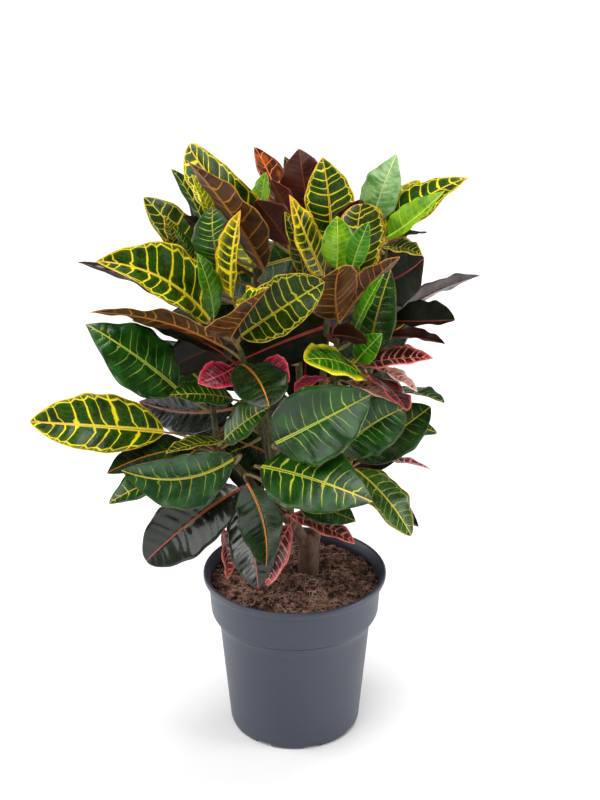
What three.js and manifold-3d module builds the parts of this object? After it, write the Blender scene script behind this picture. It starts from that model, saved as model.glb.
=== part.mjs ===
// A bushy croton about 0.69 m tall, growing from a forked woody trunk in a 21 cm nursery pot.
// Millimetres, +Z up. The origin is the centre of the pot's flat base, and -Y is the side shown in front.
import * as THREE from "three";
import { mergeVertices } from "three/addons/utils/BufferGeometryUtils.js";
import Module from "manifold-3d";

const wasm = await Module();
wasm.setup();

// Pot
const POT_HEIGHT = 197;
const RIM_RADIUS = 105;
const BAND_RADIUS = 98;
const BASE_RADIUS = 76;
const WALL = 2;
const FLOOR = 4;
const POT_SEGMENTS = 36;
const NOTCHES = 8;
const NOTCH = { wide: 20, deep: 16, high: 6, turn: THREE.MathUtils.degToRad(16) };

// Soil and the gap that separate pieces keep
const GAP = 0.3;
const SOIL_EDGE = 183;
const SOIL_MOUND = 7;
const SOIL_RIPPLE = 1.6;

// Trunk
const TRUNK_X = 16;
const TRUNK_Y = 10;
const TRUNK_RADIUS = 13;
const TRUNK_FOOT = 120;
const TRUNK_COLLAR = 238;
const STUB_RADIUS = 4.6;
const STEM_SIDES = 6;
const STEM_RINGS = 8;
const STEM_TIP_RADIUS = 3.2;

// Leaves
const BLADE = 0.8;
const BLADE_SPANS = 6;
const FILL_SPANS = 5;
const SMALL_LEAF = 50;
const SMALL_SPANS = 5;
const WAVE = 0.03;
const WAVES = 2.5;
const FAR_SIDE_WAVE = 1.9;
const BASE_FULLNESS = 0.72;
const PHASE_STEP = 2.4;
const PHASE_CYCLE = 6.28;
const STALK_ROOT = 2.4;
const STALK_END = 1.1;
const STALK_SPANS = 3;
const FILL_STALK_SPANS = 2;
const STALK_BEND = 0.45;
const ATTACH_STEPS = 36;
const ATTACH_FIRST = 2;

const UP = new THREE.Vector3(0, 0, 1);
const vec = (x, y, z) => new THREE.Vector3(x, y, z);
const radians = THREE.MathUtils.degToRad;

// Colours, roughness and metalness of each group of pieces
const material = (color, roughness) =>
  new THREE.MeshStandardMaterial({ color, roughness, metalness: 0 });
const POT_PLASTIC = material("#50545e", 0.45);
const PEAT = material("#4a342c", 0.95);
const BARK = material("#6f5d4c", 0.85);
const LEAF_COLOURS = {
  top_left: "#2f5a1c",
  top_middle: "#5c5a1e",
  right: "#23421f",
  front_right: "#5a3c24",
  front_left: "#4d3a22",
  low_left: "#1f4a1c",
  low_front: "#1d3f22",
  back_left: "#29521f",
  back_middle: "#3b5a1f",
  back_right: "#2b4a24",
};

// The leafy stems: the points each one passes through, from its fork on the trunk to its tip
const STEMS = {
  low_left: [[-38, -18, 300], [-60, -28, 335], [-81, -35, 364], [-88, -35, 414]],
  front_left: [[-20, -28, 306], [-27, -32, 380], [-45, -40, 440], [-57, -45, 481]],
  low_front: [[-3, -30, 272], [-7, -41, 305], [-12, -46, 335], [-19, -51, 360], [-18, -54, 385]],
  top_left: [[-26, 6, 312], [-34, 10, 400], [-40, 13, 490], [-41, 15, 552]],
  back_left: [[-22, 26, 308], [-50, 60, 380], [-72, 85, 450], [-84, 95, 505]],
  front_right: [[30, -16, 306], [35, -26, 380], [42, -36, 450], [46, -40, 505]],
  right: [[52, 2, 300], [68, 0, 360], [82, 5, 440], [92, 20, 520], [98, 30, 575]],
  top_middle: [[26, 14, 314], [30, 17, 400], [35, 20, 480], [36, 20, 550]],
  back_right: [[46, 30, 306], [64, 65, 380], [80, 92, 450], [88, 105, 500]],
  back_middle: [[8, 32, 312], [6, 62, 400], [2, 88, 480], [0, 100, 535]],
};

// The two limbs of the trunk and the stems that fork from each
const LIMBS = [
  {
    path: [[12, 8, 222], [4, 5, 242], [-8, 0, 264]],
    radii: [7.6, 6.2],
    stems: ["low_left", "front_left", "low_front", "top_left", "back_left"],
  },
  {
    path: [[20, 11, 222], [25, 11, 242], [29, 10, 264]],
    radii: [7.6, 6.2],
    stems: ["front_right", "right", "top_middle", "back_right", "back_middle"],
  },
];

// Each leaf that shows from the front, by its stem: where the blade starts and where its tip is,
// width, roll about its length, arch, sideways bow, fold of the halves, bluntness of the tip (1 is sharp)
const LEAVES = {
  top_left: [
    [[-30, 45, 600], [-115, 90, 670], 54, -90, 0.09, 0.07, 30, 0.7],
    [[-30, 5, 550], [-110, -10, 675], 79, 35, 0, 0.07, 15, 1.1],
    [[-85, 40, 595], [-105, 45, 655], 34, -15, 0.05, 0, 10, 0.9],
    [[-75, 0, 555], [-85, 10, 620], 50, -65, 0.09, 0.04, 0, 0.75],
    [[-65, -20, 530], [-55, -20, 625], 40, 40, 0.05, 0, 25, 0.9],
    [[-85, -30, 510], [-100, -40, 585], 36, -65, 0.06, 0, 10, 0.9],
    [[-130, 40, 565], [-140, 50, 600], 30, 20, 0.05, 0, 10, 0.9],
    [[-110, 30, 555], [-130, 40, 590], 26, 5, 0.05, 0, 10, 0.9],
    [[-90, 40, 575], [-120, 50, 600], 32, 0, 0.05, 0, 10, 0.9],
    [[-90, -10, 500], [-205, -35, 575], 80, -40, 0.1, -0.07, 25, 1],
    [[-95, 5, 490], [-230, 10, 560], 56, -25, 0.06, 0, 10, 0.9],
  ],
  top_middle: [
    [[-35, 50, 605], [-30, 60, 645], 30, -25, 0.04, 0, 10, 0.9],
    [[0, 60, 600], [-10, 70, 660], 36, 10, 0.05, 0, 10, 0.9],
    [[15, 45, 605], [5, 40, 675], 51, 80, 0.04, 0.01, 10, 0.95],
    [[0, 30, 590], [-25, 30, 645], 36, 45, 0.05, 0, 10, 0.9],
    [[-5, 25, 575], [-40, 0, 630], 42, 50, 0.05, 0, 10, 0.9],
    [[40, 30, 580], [30, 45, 665], 57, -30, 0.02, -0.02, 20, 0.95],
    [[50, 25, 575], [70, 5, 630], 38, -15, 0.05, 0, 10, 0.9],
    [[45, 0, 555], [45, 10, 610], 38, 40, 0.05, 0, 10, 0.9],
    [[30, -5, 550], [-5, -15, 640], 50, -45, 0.05, 0.08, 5, 1.05],
    [[10, 0, 540], [-10, 10, 615], 44, -5, 0.06, 0, 10, 0.9],
    [[60, 15, 550], [80, 15, 605], 34, 10, 0.05, 0, 10, 0.9],
    [[70, -5, 545], [70, 5, 625], 60, 25, 0.03, 0.07, 15, 0.45],
  ],
  right: [
    [[85, 45, 595], [110, 60, 665], 50, 20, 0.05, 0, 5, 1.1],
    [[95, 25, 580], [185, 35, 645], 60, 20, 0.09, 0.03, 5, 1.1],
    [[95, 10, 590], [155, 5, 645], 41, 35, 0.04, -0.09, 30, 1.1],
    [[90, 25, 530], [145, 90, 540], 71, 80, 0.03, -0.04, 0, 0.85],
    [[95, 15, 575], [135, 0, 570], 40, 5, 0.08, 0, 10, 0.9],
    [[110, 50, 575], [145, 85, 570], 36, -5, 0.05, 0, 10, 0.9],
    [[115, 10, 505], [200, 25, 540], 40, -45, 0.05, 0, 10, 0.9],
    [[105, -10, 500], [170, -20, 505], 53, 15, 0.07, -0.12, 25, 0.7],
    [[95, -30, 490], [160, -25, 480], 42, -35, 0.06, 0, 10, 0.9],
    [[80, -25, 470], [100, -35, 565], 50, 20, 0.06, 0, 10, 0.9],
    [[70, -35, 460], [145, -55, 475], 46, 10, 0.05, -0.01, 10, 0.9],
    [[75, -60, 455], [10, -100, 490], 56, -20, 0.07, -0.09, 0, 0.65],
    [[75, -45, 455], [115, -100, 435], 48, -25, 0.08, -0.01, 5, 0.65],
    [[55, -40, 430], [105, -65, 430], 38, -45, 0.05, 0, 10, 0.9],
    [[85, -30, 455], [130, -50, 435], 38, -10, 0.06, 0, 10, 0.9],
    [[50, -50, 365], [115, -70, 425], 61, 80, 0.05, 0.06, 10, 0.6],
    [[65, -25, 345], [150, 5, 395], 63, 35, 0.06, -0.04, 10, 0.8],
    [[80, 15, 325], [155, 25, 310], 36, -10, 0.06, 0, 10, 0.9],
    [[65, -60, 350], [125, -90, 285], 50, -15, 0.09, -0.01, 5, 0.75],
  ],
  front_right: [
    [[45, -45, 515], [45, -90, 585], 62, 30, 0.08, 0, 10, 0.9],
    [[50, -30, 510], [110, -20, 575], 48, -50, 0.05, 0, 10, 0.9],
    [[60, -50, 495], [90, -80, 575], 23, 65, 0.05, -0.03, 15, 0.8],
    [[65, -50, 470], [90, -75, 510], 28, 30, 0.05, 0, 10, 0.9],
    [[40, -65, 505], [75, -85, 505], 36, -55, 0.06, 0, 10, 0.9],
    [[35, -35, 445], [0, -60, 440], 34, 10, 0.06, 0, 10, 0.9],
  ],
  front_left: [
    [[-55, -55, 500], [30, -90, 570], 66, 75, 0, 0.01, 30, 0.6],
    [[-65, -55, 500], [-25, -105, 570], 78, 25, 0, -0.16, 30, 1.1],
    [[-75, -45, 485], [-210, -65, 530], 60, 35, 0.05, 0.06, 5, 1.1],
    [[-75, -30, 470], [-175, 10, 495], 50, 0, 0.06, 0, 10, 0.9],
    [[-65, -45, 460], [-100, -75, 455], 37, -30, 0.06, 0.06, 5, 0.9],
    [[-35, -45, 465], [-5, -70, 455], 36, -65, 0.06, 0, 10, 0.9],
    [[-55, -60, 470], [-25, -150, 460], 57, 10, 0.06, 0.04, 5, 0.5],
    [[-65, -45, 425], [-130, -70, 440], 42, -20, 0.06, 0, 10, 0.9],
  ],
  low_left: [
    [[-125, -30, 430], [-220, -30, 505], 82, -35, 0.08, 0.02, 0, 1.1],
    [[-140, -40, 385], [-285, -35, 395], 72, -50, 0.05, 0.01, 25, 0.85],
    [[-65, -10, 400], [-175, 35, 390], 61, -65, 0, 0.07, 30, 1.1],
    [[-110, -50, 370], [-200, -70, 350], 56, -15, 0.08, 0, 10, 0.9],
    [[-75, -55, 380], [-135, -85, 380], 38, 5, 0.06, 0, 10, 0.9],
    [[-65, -65, 365], [-180, -105, 370], 70, -80, 0.04, 0.12, 30, 0.9],
    [[-60, -55, 325], [-160, -90, 255], 69, -60, 0.13, -0.03, 20, 0.65],
    [[-75, -50, 380], [-25, -65, 425], 46, 40, 0.06, 0, 10, 0.9],
  ],
  low_front: [
    [[-50, -85, 345], [-30, -130, 270], 53, 40, 0.03, 0.1, 20, 0.85],
    [[-60, -60, 310], [-40, -90, 220], 54, -20, 0.1, 0, 10, 0.9],
    [[-80, -35, 265], [-75, -50, 210], 34, -45, 0.06, 0, 10, 0.9],
    [[-5, -45, 275], [-30, -65, 210], 44, -5, 0.08, 0, 10, 0.9],
    [[-5, -50, 290], [65, -80, 270], 44, 0, 0.06, 0, 10, 0.9],
    [[5, -70, 315], [65, -95, 305], 40, -5, 0.08, 0, 10, 0.9],
    [[-35, -85, 365], [80, -140, 350], 83, 30, 0.04, 0.01, 0, 0.95],
    [[-20, -70, 385], [80, -80, 445], 85, 75, 0.11, 0, 20, 0.9],
  ],
};

// The leaves within and behind, which close the bush seen from the front, as in the table above
const INNER_LEAVES = {
  top_left: [
    [[-40, 50, 465], [-150, 5, 435], 60, 80, 0.06, 0, 10, 0.85],
  ],
  top_middle: [
    [[40, 35, 480], [-70, -25, 455], 62, -45, 0.06, 0, 10, 0.85],
  ],
  back_left: [
    [[-50, 30, 270], [-90, 140, 290], 64, 25, 0.06, 0, 10, 0.85],
    [[-35, 70, 470], [-155, 90, 460], 57, -60, 0.06, 0, 10, 0.85],
    [[-80, 60, 375], [-155, 95, 440], 51, -50, 0.06, 0, 10, 0.85],
  ],
  back_middle: [
    [[-5, 65, 300], [-105, 50, 350], 64, -55, 0.06, 0, 10, 0.85],
    [[35, 50, 405], [135, 85, 470], 61, 45, 0.06, 0, 10, 0.85],
    [[0, 75, 545], [-120, 65, 510], 73, -60, 0.06, 0, 10, 0.85],
    [[10, 60, 370], [15, 140, 430], 58, 5, 0.06, 0, 10, 0.85],
    [[-5, 40, 445], [95, 80, 515], 71, -75, 0.06, 0, 10, 0.85],
    [[10, 90, 350], [-80, 70, 360], 53, 70, 0.06, 0, 10, 0.85],
    [[10, 75, 520], [70, 140, 495], 51, 60, 0.06, 0, 10, 0.85],
  ],
  back_right: [
    [[35, 45, 295], [140, -10, 255], 73, -65, 0.06, 0, 10, 0.85],
    [[75, 115, 465], [155, 105, 480], 41, -60, 0.06, 0, 10, 0.85],
    [[30, 90, 300], [120, 75, 300], 50, 60, 0.06, 0, 10, 0.85],
    [[75, 60, 395], [130, 130, 365], 54, 40, 0.06, 0, 10, 0.85],
  ],
};

// The leaves that fill the hidden sides, placed by a seeded rule. For each stem: how many are tried,
// the share of the stem they grow on, the way they face and how far they spread from it,
// and how they rise at the lowest and the highest place, in degrees
const FILL_SEED = 33;
const FILL_TRIES = 60;
const FILL_CLEAR = 10.5;
const STEM_CLEAR = 5;
const OWN_STEM_CLEAR = 9;
const FILL = [
  { stem: "back_left", count: 12, from: 0.1, to: 0.97, face: 135, spread: 125, low: -25, high: 60 },
  { stem: "back_right", count: 12, from: 0.1, to: 0.97, face: 50, spread: 125, low: -25, high: 60 },
  { stem: "back_middle", count: 11, from: 0.15, to: 0.97, face: 92, spread: 100, low: -20, high: 65 },
  { stem: "top_left", count: 4, from: 0.35, to: 0.85, face: 120, spread: 60, low: 0, high: 35 },
  { stem: "top_middle", count: 3, from: 0.3, to: 0.8, face: 100, spread: 60, low: 10, high: 40 },
  { stem: "right", count: 5, from: 0.1, to: 0.8, face: 40, spread: 60, low: -20, high: 30 },
  { stem: "front_right", count: 4, from: 0.15, to: 0.7, face: -60, spread: 90, low: -15, high: 30 },
  { stem: "front_left", count: 2, from: 0.15, to: 0.6, face: -120, spread: 70, low: -10, high: 25 },
  { stem: "low_left", count: 4, from: 0.05, to: 0.6, face: 170, spread: 70, low: -35, high: 5 },
];
// The room that the fill leaves keep to: lowest and highest point, reach from the pot's axis,
// how far they come forward and how far to the right
const ROOM = { low: 222, high: 672, reach: 262, front: -150, frontTip: -60, right: 165 };
const SAMPLE_ALONG = [0.06, 0.18, 0.3, 0.42, 0.55, 0.68, 0.82, 0.97];
const SAMPLE_ACROSS = [-1, -0.5, 0, 0.5, 1];
const SAMPLE_STALK = [0.2, 0.4, 0.6, 0.8];
// What a fill leaf is like: the least and the further length, how much of that is lost up the stem,
// width to length, rise and roll in degrees, stalk, sideways bow, and the size of the later tries
const DRAWN = {
  rise: 30,
  shortest: 90,
  longer: 65,
  lostUp: 0.45,
  wide: 0.44,
  wider: 0.1,
  roll: 50,
  stalk: 18,
  longerStalk: 22,
  stalkLift: 0.25,
  bow: 0.06,
  smaller: 0.8,
  arch: 0.08,
  fold: 12,
  blunt: 0.8,
};
// Bodies that are fused are freed of edges finer than this
const FUSE_TOLERANCE = 0.05;

// Turn a closed geometry into a solid, without the triangles that its merged points close up,
// and a solid back into a geometry.
function solid(geometry) {
  const bare = geometry.clone();
  for (const name of Object.keys(bare.attributes)) {
    if (name !== "position") {
      bare.deleteAttribute(name);
    }
  }
  const merged = mergeVertices(bare, 1e-4);
  const corners = Array.from(merged.index.array);
  const triangles = [];
  for (let i = 0; i < corners.length; i += 3) {
    const triangle = corners.slice(i, i + 3);
    if (new Set(triangle).size === 3) {
      triangles.push(...triangle);
    }
  }
  return new wasm.Manifold(
    new wasm.Mesh({
      numProp: 3,
      vertProperties: merged.attributes.position.array,
      triVerts: new Uint32Array(triangles),
    }),
  );
}

function geometryOf(body) {
  const mesh = body.getMesh();
  const geometry = new THREE.BufferGeometry();
  const position = new Float32Array(mesh.vertProperties);
  geometry.setAttribute("position", new THREE.BufferAttribute(position, 3));
  geometry.setIndex(new THREE.BufferAttribute(new Uint32Array(mesh.triVerts), 1));
  geometry.computeVertexNormals();
  return geometry;
}

const joined = (bodies) => bodies.reduce((all, body) => all.add(body));

// A profile of [radius, height] points turned about Z; it starts and ends on the axis.
function turned(profile, segments) {
  const points = profile.map(([r, z]) => new THREE.Vector2(r, z));
  return new THREE.LatheGeometry(points, segments).rotateX(Math.PI / 2);
}

// A cylinder bent along a curve, its radius running from start to end.
// Its rings are square to the curve, and `across` fixes how they are turned.
function bentTube(curve, start, end, sides, rings, across) {
  const geometry = new THREE.CylinderGeometry(1, 1, 1, sides, rings);
  const place = geometry.attributes.position;
  for (let i = 0; i < place.count; i++) {
    const along = place.getY(i) + 0.5;
    const middle = curve.getPoint(along);
    const tangent = curve.getTangent(along);
    const side = vec(0, 0, 0).crossVectors(across, tangent).normalize();
    const other = vec(0, 0, 0).crossVectors(tangent, side);
    const radius = THREE.MathUtils.lerp(start, end, along);
    middle.addScaledVector(other, radius * place.getX(i));
    middle.addScaledVector(side, radius * place.getZ(i));
    place.setXYZ(i, middle.x, middle.y, middle.z);
  }
  return solid(geometry);
}

const curveThrough = (points) =>
  new THREE.CatmullRomCurve3(points.map((p) => vec(...p)), false, "catmullrom", 0.5);

// Pot: a thin moulded shell with a rolled rim, a collar band, a shoulder and a fine ridge below it
function makePot() {
  const inner = BAND_RADIUS - WALL;
  const outside = [
    [0, 0],
    [BASE_RADIUS - 6, 0],
    [BASE_RADIUS - 1.5, 2],
    [BASE_RADIUS, 6],
    [85.4, 111],
    [86.8, 113],
    [86.8, 116],
    [86, 118],
    [87.6, 132],
    [90.5, 139],
    [BAND_RADIUS - 1.2, 149],
    [BAND_RADIUS + 1, POT_HEIGHT - 10],
    [RIM_RADIUS - 1, POT_HEIGHT - 8],
    [RIM_RADIUS, POT_HEIGHT - 5],
    [RIM_RADIUS - 0.3, POT_HEIGHT - 1.5],
    [RIM_RADIUS - 2, POT_HEIGHT],
    [RIM_RADIUS - 4, POT_HEIGHT - 0.6],
  ];
  const inside = [
    [RIM_RADIUS - 6, POT_HEIGHT - 4],
    [inner + 0.5, 186],
    [inner - 1.2, 150],
    [85.6, 132],
    [84, 118],
    [BASE_RADIUS - WALL, 9],
    [BASE_RADIUS - 5, FLOOR],
    [0, FLOOR],
  ];
  let pot = solid(turned([...outside, ...inside], POT_SEGMENTS));
  for (let i = 0; i < NOTCHES; i++) {
    const notch = new THREE.BoxGeometry(NOTCH.wide, NOTCH.deep, NOTCH.high);
    notch.translate(0, -(BASE_RADIUS - 1), 2);
    notch.rotateZ(NOTCH.turn + (i * 2 * Math.PI) / NOTCHES);
    pot = pot.subtract(solid(notch));
  }
  return pot;
}

// Soil: fills the pot up to a low uneven mound, with a plain blind hole for the foot of the trunk
function makeSoil() {
  const inner = BAND_RADIUS - WALL;
  const profile = [
    [0, FLOOR + GAP],
    [BASE_RADIUS - 5.2, FLOOR + GAP],
    [BASE_RADIUS - WALL - 0.5, 9.3],
    [84 - 0.5, 118],
    [85.6 - 0.5, 132.2],
    [inner - 1.7, 150.2],
    [inner - 0.2, SOIL_EDGE],
  ];
  const rings = 4;
  for (let i = 1; i <= rings; i++) {
    const r = (inner - 0.2) * (1 - i / rings);
    const rise = SOIL_MOUND * (0.5 + 0.5 * Math.cos((Math.PI * r) / inner));
    profile.push([r, SOIL_EDGE + rise]);
  }
  const geometry = turned(profile, POT_SEGMENTS);
  const place = geometry.attributes.position;
  for (let i = 0; i < place.count; i++) {
    const [x, y, z] = [place.getX(i), place.getY(i), place.getZ(i)];
    if (z > SOIL_EDGE + 0.1) {
      const ripple = Math.sin(x / 7 + 1) * Math.cos(y / 9) + 0.6 * Math.sin((x + y) / 5);
      place.setZ(i, z + SOIL_RIPPLE * ripple);
    }
  }
  const hole = new THREE.CylinderGeometry(TRUNK_RADIUS + GAP + 0.2, TRUNK_RADIUS + GAP + 0.2, 120, 12);
  hole.rotateX(Math.PI / 2);
  hole.translate(TRUNK_X, TRUNK_Y, TRUNK_FOOT - GAP + 60);
  return solid(geometry).subtract(solid(hole));
}

// Trunk: a stout foot in the soil, two limbs that part above it, and a stub for each leafy stem
function makeTrunk() {
  const profile = [
    [0, TRUNK_FOOT],
    [TRUNK_RADIUS, TRUNK_FOOT],
    [TRUNK_RADIUS, TRUNK_COLLAR - 40],
    [TRUNK_RADIUS - 1, TRUNK_COLLAR - 14],
    [TRUNK_RADIUS - 3.5, TRUNK_COLLAR - 5],
    [TRUNK_RADIUS - 8, TRUNK_COLLAR],
    [0, TRUNK_COLLAR],
  ];
  const foot = turned(profile, 14).translate(TRUNK_X, TRUNK_Y, 0);
  const bodies = [solid(foot)];
  const across = vec(1, 0, 0);
  for (const { path, radii, stems } of LIMBS) {
    bodies.push(bentTube(curveThrough(path), radii[0], radii[1], 8, 4, across));
    const fork = vec(...path[path.length - 1]).addScaledVector(UP, -6);
    for (const name of stems) {
      const first = vec(...STEMS[name][0]);
      const heading = curveThrough(STEMS[name]).getTangent(0);
      const end = first.clone().addScaledVector(heading, -GAP);
      const bend = end.clone().addScaledVector(heading, -18);
      const stub = new THREE.QuadraticBezierCurve3(fork, bend, end);
      bodies.push(bentTube(stub, STUB_RADIUS + 0.6, STUB_RADIUS, STEM_SIDES, 3, across));
    }
  }
  return joined(bodies);
}

// The leaf's own directions: along it, out of its upper face, and to its side.
function leafFrame(leaf) {
  const along = leaf.tip.clone().sub(leaf.base);
  const length = along.length();
  along.normalize();
  const level = vec(along.x, along.y, 0).normalize();
  const left = vec(0, 0, 0).crossVectors(UP, level);
  const upright = vec(0, 0, 0).crossVectors(along, left);
  const turnedUp = vec(0, 0, 0).crossVectors(along, upright);
  const normal = upright.multiplyScalar(Math.cos(leaf.roll));
  normal.addScaledVector(turnedUp, Math.sin(leaf.roll));
  const side = vec(0, 0, 0).crossVectors(normal, along);
  return { length, along, normal, side };
}

// Half the blade's width at share t of its length: t^a (1 - t)^b, scaled to its largest value.
function halfWidth(leaf, t) {
  const widest = BASE_FULLNESS / (BASE_FULLNESS + leaf.blunt);
  return 0.5 * leaf.width * (t / widest) ** BASE_FULLNESS * ((1 - t) / (1 - widest)) ** leaf.blunt;
}

// A point of the blade's middle surface at share t along it and v across it, from -1 to 1.
// The midrib is an arched and bowed line, the halves fold up from it, and the margins wave.
function bladePoint(leaf, frame, t, v) {
  const { length, along, normal, side } = frame;
  const bow = 4 * t * (1 - t);
  const slope = 4 * leaf.arch * (1 - 2 * t);
  const point = leaf.base.clone().addScaledVector(along, length * t);
  point.addScaledVector(normal, length * leaf.arch * bow);
  point.addScaledVector(side, length * leaf.bow * bow);
  const forward = along.clone().addScaledVector(normal, slope).normalize();
  const face = normal.clone().addScaledVector(along, -slope).normalize();
  const across = vec(0, 0, 0).crossVectors(face, forward);
  const reach = Math.abs(v);
  const half = halfWidth(leaf, t) * reach;
  const turn = 2 * Math.PI * WAVES * t + leaf.phase + (v < 0 ? FAR_SIDE_WAVE : 0);
  const wave = WAVE * leaf.width * reach ** 1.5 * Math.sin(turn) * Math.sin(Math.PI * t);
  point.addScaledVector(across, Math.sign(v) * half * Math.cos(leaf.fold));
  point.addScaledVector(face, half * Math.sin(leaf.fold) + wave);
  return { point, face };
}

// The leaf stalk: from the stem's core, turning into the direction in which the midrib starts.
function stalkCurve(leaf, { along, normal, side }) {
  const start = along.clone().addScaledVector(normal, 4 * leaf.arch);
  start.addScaledVector(side, 4 * leaf.bow).normalize();
  const reach = leaf.base.distanceTo(leaf.root);
  const bend = leaf.base.clone().addScaledVector(start, -STALK_BEND * reach);
  return new THREE.QuadraticBezierCurve3(leaf.root, bend, leaf.base);
}

// Four-sided rings down the stalk, turned so that the last one lies square to the blade.
// Each is left, top, right, right, bottom, left, to join the six points of a blade's section.
function stalkRings(leaf, frame, spans) {
  const curve = stalkCurve(leaf, frame);
  const end = curve.getTangent(1);
  const across = vec(0, 0, 0).crossVectors(frame.normal, end).normalize();
  const hinge = vec(0, 0, 0).crossVectors(curve.getTangent(0), end);
  if (hinge.length() < 0.01) {
    hinge.copy(across);
  }
  hinge.normalize();
  const turn = Math.atan2(across.dot(vec(0, 0, 0).crossVectors(end, hinge)), across.dot(hinge));
  const rings = [];
  for (let i = 0; i <= spans; i++) {
    const tangent = curve.getTangent(i / spans);
    const middle = curve.getPoint(i / spans);
    const wide = hinge.clone().multiplyScalar(Math.cos(turn));
    wide.addScaledVector(vec(0, 0, 0).crossVectors(tangent, hinge), Math.sin(turn));
    const high = vec(0, 0, 0).crossVectors(tangent, wide);
    const radius = THREE.MathUtils.lerp(STALK_ROOT, STALK_END, i / spans);
    const left = middle.clone().addScaledVector(wide, -radius);
    const right = middle.clone().addScaledVector(wide, radius);
    const top = middle.clone().addScaledVector(high, radius);
    const bottom = middle.clone().addScaledVector(high, -radius);
    rings.push([left, top, right, right, bottom, left]);
  }
  return rings;
}

// Sections of the blade, as left margin, midrib and right margin on the upper face and back along
// the lower one, and the pointed tip.
function bladeRings(leaf, frame, spans) {
  const rings = [];
  for (let i = 1; i <= spans; i++) {
    const even = i / spans;
    const t = 0.5 * even + 0.25 * (1 - Math.cos(Math.PI * even));
    const places = [-1, 0, 1].map((v) => bladePoint(leaf, frame, t, i === spans ? 0 : v));
    const offset = (place, by) => place.point.clone().addScaledVector(place.face, by);
    const upper = places.map((place) => offset(place, BLADE / 2));
    const lower = places.map((place) => offset(place, -BLADE / 2)).reverse();
    rings.push([...upper, ...lower]);
  }
  return rings;
}

// Stalk and blade as one closed body; both faces of the blade are split into triangles alike.
function makeLeaf(leaf) {
  const frame = leafFrame(leaf);
  const stalk = stalkRings(leaf, frame, leaf.stalkSpans);
  const rings = [...stalk, ...bladeRings(leaf, frame, leaf.spans)];
  const size = rings[0].length;
  const triangles = [[0, 1, 4], [1, 2, 4]];
  for (let i = 0; i < rings.length - 1; i++) {
    for (let j = 0; j < size; j++) {
      const a = i * size + j;
      const b = i * size + ((j + 1) % size);
      const [d, c] = [a + size, b + size];
      triangles.push(...(j % 3 === 0 ? [[a, d, b], [b, d, c]] : [[a, c, b], [a, d, c]]));
    }
  }
  const geometry = new THREE.BufferGeometry();
  const position = rings.flat().flatMap((point) => point.toArray());
  geometry.setAttribute("position", new THREE.Float32BufferAttribute(position, 3));
  geometry.setIndex(triangles.flat());
  return solid(geometry);
}

// Where a stalk leaves its stem: a little below its blade, so that it rises outwards.
function attachment(curve, base) {
  let best = null;
  let least = Infinity;
  for (let i = ATTACH_FIRST; i <= ATTACH_STEPS; i++) {
    const point = curve.getPoint(i / ATTACH_STEPS);
    const level = Math.hypot(point.x - base.x, point.y - base.y);
    const misfit = Math.abs(point.z - (base.z - 0.55 * level - 4)) + 0.35 * level;
    if (misfit < least) {
      least = misfit;
      best = point;
    }
  }
  return best;
}

// The leaves of a table, numbered on from those of the table before
function tableLeaves(table, curves, firstNumber) {
  const leaves = [];
  for (const [stem, rows] of Object.entries(table)) {
    for (const [base, tip, width, roll, arch, bow, fold, blunt] of rows) {
      const leaf = { stem, base: vec(...base), tip: vec(...tip), width, arch, bow, blunt };
      leaf.roll = radians(roll);
      leaf.fold = radians(fold);
      leaf.phase = (PHASE_STEP * (firstNumber + leaves.length)) % PHASE_CYCLE;
      leaf.root = attachment(curves[stem], leaf.base);
      leaf.spans = width > SMALL_LEAF ? BLADE_SPANS : SMALL_SPANS;
      leaf.stalkSpans = STALK_SPANS;
      leaves.push(leaf);
    }
  }
  return leaves;
}

// A seeded draw from 0 to 1, the same on every run.
function seededDraw(seed) {
  let state = seed;
  return () => {
    state = (state * 16807) % 2147483647;
    return state / 2147483647;
  };
}

function samplePoints(leaf) {
  const frame = leafFrame(leaf);
  const points = [];
  for (const t of SAMPLE_ALONG) {
    for (const v of SAMPLE_ACROSS) {
      points.push(bladePoint(leaf, frame, t, v).point);
    }
  }
  const stalk = stalkCurve(leaf, frame);
  for (const share of SAMPLE_STALK) {
    points.push(stalk.getPoint(share));
  }
  return points;
}

const nearest = (points, others) => {
  let least = Infinity;
  for (const a of points) {
    for (const b of others) {
      least = Math.min(least, a.distanceToSquared(b));
    }
  }
  return Math.sqrt(least);
};

// One leaf drawn for a stem: its place, the way it faces, its rise, size, roll and waves.
function drawnLeaf(rule, place, smaller, draw, curve) {
  const share = rule.from + (rule.to - rule.from) * place(draw());
  const heading = radians(rule.face + rule.spread * (2 * draw() - 1));
  const grown = (share - rule.from) / (rule.to - rule.from);
  const rise = radians(rule.low + (rule.high - rule.low) * grown + DRAWN.rise * (draw() - 0.5));
  let length = DRAWN.shortest + DRAWN.longer * draw() * (1 - DRAWN.lostUp * share);
  let width = length * (DRAWN.wide + DRAWN.wider * draw());
  const roll = radians(DRAWN.roll * (draw() - 0.5));
  const stalk = DRAWN.stalk + DRAWN.longerStalk * draw();
  const bow = DRAWN.bow * (draw() - 0.5);
  const phase = 6 * draw();
  if (smaller) {
    length *= DRAWN.smaller;
    width *= DRAWN.smaller;
  }
  const level = Math.cos(rise);
  const along = vec(Math.cos(heading) * level, Math.sin(heading) * level, Math.sin(rise));
  const root = curve.getPoint(share);
  const leaning = along.clone().addScaledVector(UP, DRAWN.stalkLift).normalize();
  const base = root.clone().addScaledVector(leaning, stalk);
  const tip = base.clone().addScaledVector(along, length);
  const { arch, blunt } = DRAWN;
  const shape = { width, roll, bow, phase, arch, fold: radians(DRAWN.fold), blunt };
  const spans = { spans: FILL_SPANS, stalkSpans: FILL_STALK_SPANS };
  return { stem: rule.stem, root, base, tip, ...spans, ...shape };
}

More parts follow.
